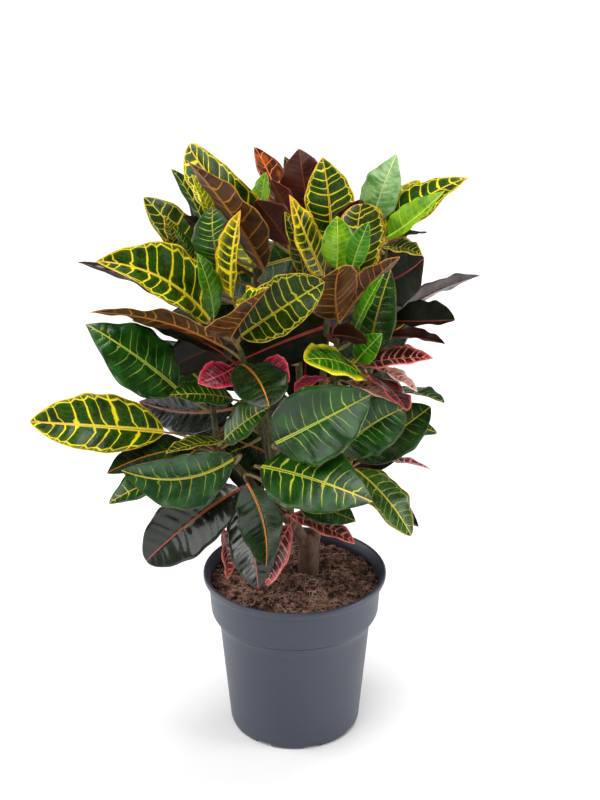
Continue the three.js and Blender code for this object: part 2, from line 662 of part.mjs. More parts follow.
function inRoom(leaf, points, front) {
  const heights = points.map((p) => p.z);
  const reach = Math.max(...points.map((p) => Math.hypot(p.x, p.y)));
  const nearFront = Math.min(...points.map((p) => p.y));
  const farRight = Math.max(...points.map((p) => p.x));
  const level = Math.min(...heights) > ROOM.low && Math.max(...heights) < ROOM.high;
  const beside = reach < ROOM.reach && farRight < ROOM.right;
  const behind = nearFront > ROOM.front && (front || leaf.tip.y > ROOM.frontTip);
  return level && beside && behind;
}

// The leaves of the hidden sides: each is drawn again until it is clear of every leaf and stem
function fillLeaves(shown, curves) {
  const draw = seededDraw(FILL_SEED);
  const stemPoints = {};
  for (const [name, curve] of Object.entries(curves)) {
    stemPoints[name] = curve.getPoints(ATTACH_STEPS);
  }
  const placed = shown.flatMap(samplePoints);
  const leaves = [];
  for (const rule of FILL) {
    const own = stemPoints[rule.stem];
    const others = Object.keys(stemPoints)
      .filter((name) => name !== rule.stem)
      .flatMap((name) => stemPoints[name]);
    const taken = [...placed, ...others];
    const front = rule.stem.startsWith("front");
    for (let k = 0; k < rule.count; k++) {
      for (let attempt = 0; attempt < FILL_TRIES; attempt++) {
        const place = (x) => (k + x) / rule.count;
        const leaf = drawnLeaf(rule, place, attempt > FILL_TRIES / 2, draw, curves[rule.stem]);
        const points = samplePoints(leaf);
        const blade = points.slice(0, -SAMPLE_STALK.length);
        const stalk = points.slice(-SAMPLE_STALK.length);
        const clear =
          inRoom(leaf, points, front) &&
          nearest(blade, taken) > FILL_CLEAR &&
          nearest(stalk, taken) > STEM_CLEAR &&
          nearest(blade.slice(5), own) > OWN_STEM_CLEAR;
        if (clear) {
          leaves.push(leaf);
          placed.push(...points);
          taken.push(...points);
          break;
        }
      }
    }
  }
  return leaves;
}

const plant = new THREE.Group();

function addPiece(name, body, skin) {
  const mesh = new THREE.Mesh(geometryOf(body), skin);
  mesh.name = name;
  plant.add(mesh);
}

addPiece("pot", makePot(), POT_PLASTIC);
addPiece("soil", makeSoil(), PEAT);
addPiece("trunk", makeTrunk(), BARK);

const curves = {};
for (const [name, points] of Object.entries(STEMS)) {
  curves[name] = curveThrough(points);
}
const shown = tableLeaves(LEAVES, curves, 0);
const placedByHand = [...shown, ...tableLeaves(INNER_LEAVES, curves, shown.length)];
const leaves = [...placedByHand, ...fillLeaves(placedByHand, curves)];
for (const [name, curve] of Object.entries(curves)) {
  const stem = bentTube(curve, STUB_RADIUS, STEM_TIP_RADIUS, STEM_SIDES, STEM_RINGS, vec(1, 0, 0));
  const bodies = [stem];
  for (const leaf of leaves.filter((one) => one.stem === name)) {
    bodies.push(makeLeaf(leaf));
  }
  addPiece(`stem_${name}`, joined(bodies).simplify(FUSE_TOLERANCE), material(LEAF_COLOURS[name], 0.35));
}

export default plant;
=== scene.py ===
"""Looks of a bushy croton in a 21 cm nursery pot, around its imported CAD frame.

Metres, +Z up, front towards -Y. The tables and shapes are in millimetres, like the part's source.
"""

import math

import bpy
import numpy as np
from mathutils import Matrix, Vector


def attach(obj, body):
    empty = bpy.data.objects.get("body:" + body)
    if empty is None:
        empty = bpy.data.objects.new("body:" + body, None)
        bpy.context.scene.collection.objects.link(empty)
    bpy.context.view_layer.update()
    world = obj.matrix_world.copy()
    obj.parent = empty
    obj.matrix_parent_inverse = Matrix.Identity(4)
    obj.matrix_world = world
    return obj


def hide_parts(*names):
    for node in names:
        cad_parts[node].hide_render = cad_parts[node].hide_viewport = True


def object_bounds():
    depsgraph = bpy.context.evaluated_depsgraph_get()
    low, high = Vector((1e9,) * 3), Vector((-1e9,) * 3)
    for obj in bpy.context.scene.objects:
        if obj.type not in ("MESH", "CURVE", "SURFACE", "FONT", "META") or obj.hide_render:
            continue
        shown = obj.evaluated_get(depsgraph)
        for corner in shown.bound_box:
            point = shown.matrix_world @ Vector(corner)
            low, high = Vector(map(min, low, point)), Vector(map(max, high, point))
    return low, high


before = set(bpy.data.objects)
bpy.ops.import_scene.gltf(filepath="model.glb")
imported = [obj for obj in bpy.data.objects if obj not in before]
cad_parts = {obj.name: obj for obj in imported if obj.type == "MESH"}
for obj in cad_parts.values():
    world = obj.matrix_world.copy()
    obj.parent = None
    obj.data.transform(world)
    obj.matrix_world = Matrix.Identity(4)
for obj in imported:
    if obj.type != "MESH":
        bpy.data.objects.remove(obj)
cad_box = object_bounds()
MM = 0.001

# Sizes in millimetres, the same as in the part's source
POT_HEIGHT = 197
RIM_RADIUS = 105
BAND_RADIUS = 98
BASE_RADIUS = 76
WALL = 2
FLOOR = 4
NOTCHES = 8
NOTCH_SIZE = (20, 16, 6)
NOTCH_TURN = math.radians(16)
SOIL_EDGE = 183
SOIL_MOUND = 7
TRUNK_PLACE = (16, 10)
TRUNK_RADIUS = 13
TRUNK_FOOT = 120
TRUNK_COLLAR = 238
# Height and radius up the domed shoulder of the trunk
TRUNK_SHOULDER = ((198, 13), (212, 12.7), (224, 12), (233, 9.5), (236, 7.4), (238, 5))
# Radii at the start and the end of stems and stalks, and the share of a stalk that bends
STEM_RADIUS = (4.6, 3.2)
STALK_RADIUS = (2.4, 1.1)
STALK_BEND = 0.45
# The blade: its thickness, the height of its waves over its width, their number, how far in radians those
# of one half are ahead, and its fullness at the base
BLADE = 0.8
WAVE, WAVES, FAR_SIDE_WAVE = 0.03, 2.5, 1.9
BASE_FULLNESS = 0.72
# How far in radians the waves of each leaf are ahead of those of the one before
PHASE_STEP, PHASE_CYCLE = 2.4, 6.28
# Where a stalk leaves its stem: the steps of the stem that are tried and the first of them, how far below
# the blade it starts, by its reach and in mm, and what its reach costs
ATTACH_STEPS, ATTACH_FIRST = 36, 2
STALK_RISE, STALK_DROP, LEVEL_COST = 0.55, 4, 0.35
# The gap between a stub of the trunk and its stem
GAP = 0.3

# The leafy stems: the points that each passes through
STEMS = {
    "low_left": [(-38, -18, 300), (-60, -28, 335), (-81, -35, 364), (-88, -35, 414)],
    "front_left": [(-20, -28, 306), (-27, -32, 380), (-45, -40, 440), (-57, -45, 481)],
    "low_front": [(-3, -30, 272), (-7, -41, 305), (-12, -46, 335), (-19, -51, 360), (-18, -54, 385)],
    "top_left": [(-26, 6, 312), (-34, 10, 400), (-40, 13, 490), (-41, 15, 552)],
    "back_left": [(-22, 26, 308), (-50, 60, 380), (-72, 85, 450), (-84, 95, 505)],
    "front_right": [(30, -16, 306), (35, -26, 380), (42, -36, 450), (46, -40, 505)],
    "right": [(52, 2, 300), (68, 0, 360), (82, 5, 440), (92, 20, 520), (98, 30, 575)],
    "top_middle": [(26, 14, 314), (30, 17, 400), (35, 20, 480), (36, 20, 550)],
    "back_right": [(46, 30, 306), (64, 65, 380), (80, 92, 450), (88, 105, 500)],
    "back_middle": [(8, 32, 312), (6, 62, 400), (2, 88, 480), (0, 100, 535)],
}

# The two limbs of the trunk: their paths, radii at the foot and the fork, and the stems from each
LIMBS = [
    (
        [(12, 8, 222), (4, 5, 242), (-8, 0, 264)],
        (7.6, 6.2),
        ("low_left", "front_left", "low_front", "top_left", "back_left"),
    ),
    (
        [(20, 11, 222), (25, 11, 242), (29, 10, 264)],
        (7.6, 6.2),
        ("front_right", "right", "top_middle", "back_right", "back_middle"),
    ),
]

# Each leaf that shows from the front, by its stem: where the blade starts and where its tip is, width,
# roll about its length and kind, then its arch, sideways bow, fold of the halves and bluntness of the
# tip, unless they are the plain ones
PLAIN_SHOWN = (0.06, 0, 10, 0.9)
LEAVES = {
    "top_left": [
        ((-30, 45, 600), (-115, 90, 670), 54, -90, "net", 0.09, 0.07, 30, 0.7),
        ((-30, 5, 550), (-110, -10, 675), 79, 35, "net", 0, 0.07, 15, 1.1),
        ((-85, 40, 595), (-105, 45, 655), 34, -15, "netyoung", 0.05, 0, 10, 0.9),
        ((-75, 0, 555), (-85, 10, 620), 50, -65, "mid", 0.09, 0.04, 0, 0.75),
        ((-65, -20, 530), (-55, -20, 625), 40, 40, "gold", 0.05, 0, 25, 0.9),
        ((-85, -30, 510), (-100, -40, 585), 36, -65, "spring"),
        ((-130, 40, 565), (-140, 50, 600), 30, 20, "net", 0.05, 0, 10, 0.9),
        ((-110, 30, 555), (-130, 40, 590), 26, 5, "mid", 0.05, 0, 10, 0.9),
        ((-90, 40, 575), (-120, 50, 600), 32, 0, "dusk", 0.05, 0, 10, 0.9),
        ((-90, -10, 500), (-205, -35, 575), 80, -40, "net", 0.1, -0.07, 25, 1),
        ((-95, 5, 490), (-230, 10, 560), 56, -25, "bronze"),
    ],
    "top_middle": [
        ((-35, 50, 605), (-30, 60, 645), 30, -25, "young", 0.04, 0, 10, 0.9),
        ((0, 60, 600), (-10, 70, 660), 36, 10, "dark", 0.05, 0, 10, 0.9),
        ((15, 45, 605), (5, 40, 675), 51, 80, "red", 0.04, 0.01, 10, 0.95),
        ((0, 30, 590), (-25, 30, 645), 36, 45, "red", 0.05, 0, 10, 0.9),
        ((-5, 25, 575), (-40, 0, 630), 42, 50, "red", 0.05, 0, 10, 0.9),
        ((40, 30, 580), (30, 45, 665), 57, -30, "net", 0.02, -0.02, 20, 0.95),
        ((50, 25, 575), (70, 5, 630), 38, -15, "red", 0.05, 0, 10, 0.9),
        ((45, 0, 555), (45, 10, 610), 38, 40, "young", 0.05, 0, 10, 0.9),
        ((30, -5, 550), (-5, -15, 640), 50, -45, "gold", 0.05, 0.08, 5, 1.05),
        ((10, 0, 540), (-10, 10, 615), 44, -5, "netolive"),
        ((60, 15, 550), (80, 15, 605), 34, 10, "spring", 0.05, 0, 10, 0.9),
        ((70, -5, 545), (70, 5, 625), 60, 25, "netblue", 0.03, 0.07, 15, 0.45),
    ],
    "right": [
        ((85, 45, 595), (110, 60, 665), 50, 20, "fresh", 0.05, 0, 5, 1.1),
        ((95, 25, 580), (185, 35, 645), 60, 20, "net", 0.09, 0.03, 5, 1.1),
        ((95, 10, 590), (155, 5, 645), 41, 35, "young", 0.04, -0.09, 30, 1.1),
        ((90, 25, 530), (145, 90, 540), 71, 80, "dusk", 0.03, -0.04, 0, 0.85),
        ((95, 15, 575), (135, 0, 570), 40, 5, "net", 0.08, 0, 10, 0.9),
        ((110, 50, 575), (145, 85, 570), 36, -5, "dusk", 0.05, 0, 10, 0.9),
        ((115, 10, 505), (200, 25, 540), 40, -45, "bronze", 0.05, 0, 10, 0.9),
        ((105, -10, 500), (170, -20, 505), 53, 15, "dusk", 0.07, -0.12, 25, 0.7),
        ((95, -30, 490), (160, -25, 480), 42, -35, "dusk"),
        ((80, -25, 470), (100, -35, 565), 50, 20, "darkblue"),
        ((70, -35, 460), (145, -55, 475), 46, 10, "flame", 0.05, -0.01, 10, 0.9),
        ((75, -60, 455), (10, -100, 490), 56, -20, "brimmed", 0.07, -0.09, 0, 0.65),
        ((75, -45, 455), (115, -100, 435), 48, -25, "flamedark", 0.08, -0.01, 5, 0.65),
        ((55, -40, 430), (105, -65, 430), 38, -45, "salmon", 0.05, 0, 10, 0.9),
        ((85, -30, 455), (130, -50, 435), 38, -10, "salmon"),
        ((50, -50, 365), (115, -70, 425), 61, 80, "fine", 0.05, 0.06, 10, 0.6),
        ((65, -25, 345), (150, 5, 395), 63, 35, "darkblue", 0.06, -0.04, 10, 0.8),
        ((80, 15, 325), (155, 25, 310), 36, -10, "flame"),
        ((65, -60, 350), (125, -90, 285), 50, -15, "midnet", 0.09, -0.01, 5, 0.75),
    ],
    "front_right": [
        ((45, -45, 515), (45, -90, 585), 62, 30, "net", 0.08, 0, 10, 0.9),
        ((50, -30, 510), (110, -20, 575), 48, -50, "net", 0.05, 0, 10, 0.9),
        ((60, -50, 495), (90, -80, 575), 23, 65, "spring", 0.05, -0.03, 15, 0.8),
        ((65, -50, 470), (90, -75, 510), 28, 30, "spring", 0.05, 0, 10, 0.9),
        ((40, -65, 505), (75, -85, 505), 36, -55, "dusk"),
        ((35, -35, 445), (0, -60, 440), 34, 10, "crimson"),
    ],
    "front_left": [
        ((-55, -55, 500), (30, -90, 570), 66, 75, "netolive", 0, 0.01, 30, 0.6),
        ((-65, -55, 500), (-25, -105, 570), 78, 25, "net", 0, -0.16, 30, 1.1),
        ((-75, -45, 485), (-210, -65, 530), 60, 35, "net", 0.05, 0.06, 5, 1.1),
        ((-75, -30, 470), (-175, 10, 495), 50, 0, "dusk"),
        ((-65, -45, 460), (-100, -75, 455), 37, -30, "crimson", 0.06, 0.06, 5, 0.9),
        ((-35, -45, 465), (-5, -70, 455), 36, -65, "crimson"),
        ((-55, -60, 470), (-25, -150, 460), 57, 10, "dark", 0.06, 0.04, 5, 0.5),
        ((-65, -45, 425), (-130, -70, 440), 42, -20, "mid"),
    ],
    "low_left": [
        ((-125, -30, 430), (-220, -30, 505), 82, -35, "fine", 0.08, 0.02, 0, 1.1),
        ((-140, -40, 385), (-285, -35, 395), 72, -50, "net", 0.05, 0.01, 25, 0.85),
        ((-65, -10, 400), (-175, 35, 390), 61, -65, "bronze", 0, 0.07, 30, 1.1),
        ((-110, -50, 370), (-200, -70, 350), 56, -15, "dark", 0.08, 0, 10, 0.9),
        ((-75, -55, 380), (-135, -85, 380), 38, 5, "netolive"),
        ((-65, -65, 365), (-180, -105, 370), 70, -80, "darkblue", 0.04, 0.12, 30, 0.9),
        ((-60, -55, 325), (-160, -90, 255), 69, -60, "bronze", 0.13, -0.03, 20, 0.65),
        ((-75, -50, 380), (-25, -65, 425), 46, 40, "mid"),
    ],
    "low_front": [
        ((-50, -85, 345), (-30, -130, 270), 53, 40, "dark", 0.03, 0.1, 20, 0.85),
        ((-60, -60, 310), (-40, -90, 220), 54, -20, "bronze", 0.1, 0, 10, 0.9),
        ((-80, -35, 265), (-75, -50, 210), 34, -45, "flame"),
        ((-5, -45, 275), (-30, -65, 210), 44, -5, "flame", 0.08, 0, 10, 0.9),
        ((-5, -50, 290), (65, -80, 270), 44, 0, "flame"),
        ((5, -70, 315), (65, -95, 305), 40, -5, "darkblue", 0.08, 0, 10, 0.9),
        ((-35, -85, 365), (80, -140, 350), 83, 30, "mid", 0.04, 0.01, 0, 0.95),
        ((-20, -70, 385), (80, -80, 445), 85, 75, "fine", 0.11, 0, 20, 0.9),
    ],
}

# Leaves that stand turned, narrower, wider or a little aside here, as the picture has them: base, tip,
# width and roll. They are set once every leaf is placed, so the leaves drawn for the hidden sides stay
# where the solids have them
TURNED = {
    "top_left_01": ((-26, 45, 600), (-114, 90, 668), 58, -76),
    "top_left_02": ((-33, 5, 553), (-110, -10, 675), 60, 38),
    "top_left_03": ((-87, 27, 592), (-108, 30, 650), 30, -10),
    "top_left_11": ((-95, 5, 490), (-230, 10, 560), 56, 3),
    "top_middle_08": ((44, -33, 566), (44, -25, 620), 38, 15),
    "top_middle_11": ((59, -38, 566), (76, -39, 618), 25, 65),
    "right_03": ((97, 4, 588), (156, -3, 641), 38, 35),
    "right_10": ((80, -25, 470), (100, -35, 565), 50, 85),
    "right_14": ((55, -46, 446), (106, -84, 436), 34, -5),
    "right_19": ((65, -60, 350), (125, -90, 285), 54, 10),
    "front_right_04": ((65, -50, 470), (90, -75, 510), 28, 95),
    "front_left_06": ((-35, -45, 465), (-5, -70, 455), 36, 45),
    "low_front_02": ((-60, -60, 310), (-40, -90, 220), 60, 5),
    "low_front_06": ((5, -70, 315), (65, -95, 305), 40, 35),
}

# The leaves deeper in, which close the view between the others, given the same way
PLAIN_INNER = (0.06, 0, 10, 0.85)
INNER_LEAVES = {
    "top_left": [
        ((-40, 50, 465), (-150, 5, 435), 60, 80, "dark"),
    ],
    "top_middle": [
        ((40, 35, 480), (-70, -25, 455), 62, -45, "dusk"),
    ],
    "back_left": [
        ((-50, 30, 270), (-90, 140, 290), 64, 25, "dusk"),
        ((-35, 70, 470), (-155, 90, 460), 57, -60, "dark"),
        ((-80, 60, 375), (-155, 95, 440), 51, -50, "darkblue"),
    ],
    "back_middle": [
        ((-5, 65, 300), (-105, 50, 350), 64, -55, "dark"),
        ((35, 50, 405), (135, 85, 470), 61, 45, "dark"),
        ((0, 75, 545), (-120, 65, 510), 73, -60, "darkblue"),
        ((10, 60, 370), (15, 140, 430), 58, 5, "dusk"),
        ((-5, 40, 445), (95, 80, 515), 71, -75, "dark"),
        ((10, 90, 350), (-80, 70, 360), 53, 70, "darkblue"),
        ((10, 75, 520), (70, 140, 495), 51, 60, "dark"),
    ],
    "back_right": [
        ((35, 45, 295), (140, -10, 255), 73, -65, "dark"),
        ((75, 115, 465), (155, 105, 480), 41, -60, "darkblue"),
        ((30, 90, 300), (120, 75, 300), 50, 60, "dusk"),
        ((75, 60, 395), (130, 130, 365), 54, 40, "dark"),
    ],
}

# The leaves of the hidden sides: how often each is drawn, how far its blade and its stalk keep from other
# leaves and stems, how far the blade keeps from its own stem, and how near points are compared
FILL_SEED = 33
FILL_TRIES = 60
BLADE_CLEAR, STALK_CLEAR, OWN_STEM_CLEAR = 10.5, 5, 9
NEARBY, FAR_OFF = 12, 1000.0
# Their stem, how many are tried, share of the stem from and to, way they face and spread in degrees, and
# rise in degrees at the lowest and the highest place
FILL = [
    ("back_left", 12, 0.1, 0.97, 135, 125, -25, 60),
    ("back_right", 12, 0.1, 0.97, 50, 125, -25, 60),
    ("back_middle", 11, 0.15, 0.97, 92, 100, -20, 65),
    ("top_left", 4, 0.35, 0.85, 120, 60, 0, 35),
    ("top_middle", 3, 0.3, 0.8, 100, 60, 10, 40),
    ("right", 5, 0.1, 0.8, 40, 60, -20, 30),
    ("front_right", 4, 0.15, 0.7, -60, 90, -15, 30),
    ("front_left", 2, 0.15, 0.6, -120, 70, -10, 25),
    ("low_left", 4, 0.05, 0.6, 170, 70, -35, 5),
]
# The room they keep to: lowest and highest point, reach from the axis, how far forward and right
ROOM = {"low": 222, "high": 672, "reach": 262, "front": -150, "front_tip": -60, "right": 165}
SAMPLE_ALONG = (0.06, 0.18, 0.3, 0.42, 0.55, 0.68, 0.82, 0.97)
SAMPLE_ACROSS = (-1, -0.5, 0, 0.5, 1)
SAMPLE_STALK = (0.2, 0.4, 0.6, 0.8)
# What a fill leaf is like: lengths in mm, width to length, angles in degrees
DRAWN = {
    "rise": 30, "shortest": 90, "longer": 65, "lost_up": 0.45, "wide": 0.44, "wider": 0.1, "roll": 50,
    "stalk": 18, "longer_stalk": 22, "stalk_lift": 0.25, "bow": 0.06, "smaller": 0.8,
    "arch": 0.08, "fold": 12, "blunt": 0.8,
}
UP = np.array([0.0, 0.0, 1.0])


def unit(v):
    """The vector, or each row of an array, at length 1."""
    return v / np.linalg.norm(v, axis=-1, keepdims=True)


# Curves


def curve_points(points, shares):
    """Catmull-Rom curve: on each stretch the cubic with the ends' half-chords as its end slopes."""
    p = np.asarray(points, float)
    p = np.vstack([2 * p[0] - p[1], p, 2 * p[-1] - p[-2]])
    stretches = len(points) - 1
    place = np.asarray(shares, float) * stretches
    k = np.minimum(place.astype(int), stretches - 1)
    w = (place - k)[:, None]
    before, start, end, after = p[k], p[k + 1], p[k + 2], p[k + 3]
    out = 0.5 * (end - before)
    into = 0.5 * (after - start)
    square = -3 * start + 3 * end - 2 * out - into
    cube = 2 * start - 2 * end + out + into
    return start + out * w + square * w**2 + cube * w**3


def bezier_points(a, b, c, shares):
    """Quadratic Bezier curve: (1-s)^2 a + 2 s (1-s) b + s^2 c."""
    s = np.asarray(shares, float)[:, None]
    return (1 - s) ** 2 * a + 2 * s * (1 - s) * b + s**2 * c


# The leaves' places


def leaf_frame(leaf):
    """The leaf's own directions: along it, out of its upper face, and to its side."""
    along = leaf["tip"] - leaf["base"]
    length = np.linalg.norm(along)
    along = along / length
    level = unit(np.array([along[0], along[1], 0.0]))
    upright = np.cross(along, np.cross(UP, level))
    normal = upright * math.cos(leaf["roll"]) + np.cross(along, upright) * math.sin(leaf["roll"])
    return length, along, normal, np.cross(normal, along)


def half_width(leaf, t):
    """Half the blade's width at share t: t^a (1-t)^b, scaled to its largest value."""
    widest = BASE_FULLNESS / (BASE_FULLNESS + leaf["blunt"])
    rise = np.power(np.clip(t, 0, 1) / widest, BASE_FULLNESS)
    return 0.5 * leaf["width"] * rise * np.power(np.clip(1 - t, 0, 1) / (1 - widest), leaf["blunt"])


def blade_points(leaf, t, v):
    """Middle surface of the blade, in mm, and the directions out of its face and across it.

    The midrib is base + length (t along + arch 4t(1-t) normal + bow 4t(1-t) side). From it the halves
    fold up by the fold angle, and a sine along the blade waves them, most at the margin.
    """
    length, along, normal, side = leaf_frame(leaf)
    t, v = np.broadcast_arrays(np.asarray(t, float), np.asarray(v, float))
    bow = (4 * t * (1 - t))[..., None]
    slope = (4 * leaf["arch"] * (1 - 2 * t))[..., None]
    curved = t[..., None] * along + leaf["arch"] * bow * normal + leaf["bow"] * bow * side
    middle = leaf["base"] + length * curved
    forward = unit(along + slope * normal)
    face = unit(normal - slope * along)
    across = np.cross(face, forward)
    reach = np.abs(v)
    half = half_width(leaf, t) * reach
    turn = 2 * np.pi * WAVES * t + leaf["phase"] + np.where(v < 0, FAR_SIDE_WAVE, 0)
    wave = WAVE * leaf["width"] * reach**1.5 * np.sin(turn) * np.sin(np.pi * t)
    out = (np.sign(v) * half * math.cos(leaf["fold"]))[..., None] * across
    return middle + out + (half * math.sin(leaf["fold"]) + wave)[..., None] * face, face, across


def attachment(points, base):
    """Where a stalk leaves its stem: a little below its blade, so that it rises outwards."""
    places = curve_points(points, np.arange(ATTACH_FIRST, ATTACH_STEPS + 1) / ATTACH_STEPS)
    level = np.hypot(places[:, 0] - base[0], places[:, 1] - base[1])
    wanted = base[2] - STALK_RISE * level - STALK_DROP
    misfit = np.abs(places[:, 2] - wanted) + LEVEL_COST * level
    return places[int(np.argmin(misfit))]


def stalk_points(leaf, shares):
    """Points of the stalk: a quadratic curve from the stem that runs into the midrib."""
    _, along, normal, side = leaf_frame(leaf)
    start = unit(along + 4 * leaf["arch"] * normal + 4 * leaf["bow"] * side)
    bend = leaf["base"] - start * STALK_BEND * np.linalg.norm(leaf["base"] - leaf["root"])
    return bezier_points(leaf["root"], bend, leaf["base"], shares)


def table_leaves(table, first, plain):
    """The leaves that a table gives, with their waves numbered on from the first."""
    leaves = []
    for stem, rows in table.items():
        for base, tip, width, roll, kind, *form in rows:
            arch, bow, fold, blunt = form or plain
            base, tip = np.array(base, float), np.array(tip, float)
            leaf = dict(
                stem=stem, root=attachment(STEMS[stem], base), base=base, tip=tip, width=width, kind=kind,
                roll=math.radians(roll), arch=arch, bow=bow, fold=math.radians(fold), blunt=blunt,
                phase=(PHASE_STEP * (first + len(leaves))) % PHASE_CYCLE,
            )
            leaves.append(leaf)
    return leaves


def seeded_draw(seed):
    """A repeatable draw from 0 to 1: the last state times 16807, modulo 2^31 - 1."""
    state = seed
    while True:
        state = (state * 16807) % 2147483647
        yield state / 2147483647


def sample_points(leaf):
    """Points over the blade and along the stalk, by which a leaf is kept clear of others."""
    blade = blade_points(leaf, np.array(SAMPLE_ALONG)[:, None], np.array(SAMPLE_ACROSS)[None, :])[0]
    return np.vstack([blade.reshape(-1, 3), stalk_points(leaf, SAMPLE_STALK)])


def nearest(points, others):
    """Least distance between two sets of points, or a large one where none is nearby."""
    low, high = points.min(axis=0) - NEARBY, points.max(axis=0) + NEARBY
    near = ((others > low) & (others < high)).all(axis=1)
    if not near.any():
        return FAR_OFF
    apart = points[:, None, :] - others[near][None, :, :]
    return math.sqrt((apart**2).sum(axis=2).min())


def drawn_leaf(rule, k, smaller, draw):
    """One leaf drawn for a stem: its place, the way it faces, its rise, size, roll and waves."""
    stem, count, start, end, face, spread, low, high = rule
    share = start + (end - start) * (k + next(draw)) / count
    heading = math.radians(face + spread * (2 * next(draw) - 1))
    grown = (share - start) / (end - start)
    rise = math.radians(low + (high - low) * grown + DRAWN["rise"] * (next(draw) - 0.5))
    length = DRAWN["shortest"] + DRAWN["longer"] * next(draw) * (1 - DRAWN["lost_up"] * share)
    width = length * (DRAWN["wide"] + DRAWN["wider"] * next(draw))
    roll = math.radians(DRAWN["roll"] * (next(draw) - 0.5))
    stalk = DRAWN["stalk"] + DRAWN["longer_stalk"] * next(draw)
    bow = DRAWN["bow"] * (next(draw) - 0.5)
    phase = 6 * next(draw)
    if smaller:
        length *= DRAWN["smaller"]
        width *= DRAWN["smaller"]
    level = math.cos(rise)
    along = np.array([math.cos(heading) * level, math.sin(heading) * level, math.sin(rise)])
    root = curve_points(STEMS[stem], [share])[0]
    base = root + unit(along + DRAWN["stalk_lift"] * UP) * stalk
    return dict(
        stem=stem, root=root, base=base, tip=base + along * length, width=width, roll=roll, phase=phase,
        arch=DRAWN["arch"], bow=bow, fold=math.radians(DRAWN["fold"]), blunt=DRAWN["blunt"],
    )


def in_room(leaf, points, front):
    """Whether a drawn leaf stays in the room of the bush, and behind the front unless it belongs there."""
    level = points[:, 2].min() > ROOM["low"] and points[:, 2].max() < ROOM["high"]
    reach = np.hypot(points[:, 0], points[:, 1]).max()
    beside = reach < ROOM["reach"] and points[:, 0].max() < ROOM["right"]
    behind = points[:, 1].min() > ROOM["front"] and (front or leaf["tip"][1] > ROOM["front_tip"])
    return level and beside and behind


def fill_leaves(shown):
    """The leaves of the hidden sides, each drawn again until it is clear of every leaf and stem."""
    draw = seeded_draw(FILL_SEED)
    stalks = len(SAMPLE_STALK)
    steps = np.arange(ATTACH_STEPS + 1) / ATTACH_STEPS
    stems = {name: curve_points(points, steps) for name, points in STEMS.items()}
    placed = [sample_points(leaf) for leaf in shown]
    leaves = []
    for rule in FILL:
        others = [points for name, points in stems.items() if name != rule[0]]
        for k in range(rule[1]):
            taken = np.vstack(placed + others)
            for attempt in range(FILL_TRIES):
                leaf = drawn_leaf(rule, k, attempt > FILL_TRIES / 2, draw)
                points = sample_points(leaf)
                if not in_room(leaf, points, rule[0].startswith("front")):
                    continue
                if (
                    nearest(points[:-stalks], taken) > BLADE_CLEAR
                    and nearest(points[-stalks:], taken) > STALK_CLEAR
                    and nearest(points[len(SAMPLE_ACROSS) : -stalks], stems[rule[0]]) > OWN_STEM_CLEAR
                ):
                    leaves.append(leaf)
                    placed.append(points)
                    break
    return leaves


# Materials


def linear(hex_colour):
    """An sRGB hex colour as linear RGBA."""
    parts = [int(hex_colour[i : i + 2], 16) / 255 for i in (1, 3, 5)]
    return [c / 12.92 if c <= 0.04045 else ((c + 0.055) / 1.055) ** 2.4 for c in parts] + [1.0]


def add(tree, kind, *values, pick=0, **settings):
    """Adds a node with its settings and links, and gives the output picked.

    The values go to its inputs in order: each a number, a colour or another node's output, and None
    leaves one as it is. A keyword is a setting, or an input's name with _ for a space.
    """
    node = tree.nodes.new("ShaderNode" + kind)
    inputs = {}
    for name, value in settings.items():
        if hasattr(node, name):
            setattr(node, name, value)
        else:
            inputs[node.inputs[name.replace("_", " ")]] = value
    inputs.update(zip([socket for socket in node.inputs if socket.enabled], values))
    for socket, value in inputs.items():
        if isinstance(value, bpy.types.NodeSocket):
            tree.links.new(value, socket)
        elif value is not None:
            socket.default_value = value
    outputs = [socket for socket in node.outputs if socket.enabled]
    return outputs[pick] if outputs else node


def new_object(name, data):
    """A mesh, lamp or camera as an object at the origin, in the scene."""
    made = bpy.data.objects.new(name, data)
    bpy.context.scene.collection.objects.link(made)
    return made


def new_material(name):
    """An empty material and its node tree."""
    material = bpy.data.materials.new(name)
    material.use_nodes = True
    material.node_tree.nodes.clear()
    return material, material.node_tree


# Settings that many nodes share
SMOOTH = {"interpolation_type": "SMOOTHSTEP"}
COLOURS = {"data_type": "RGBA"}
TIMES = {"operation": "MULTIPLY"}
TIMES_PLUS = {"operation": "MULTIPLY_ADD"}
# How far noise shifts a side vein, in spacings of the veins
VEIN_WOBBLE = 0.12


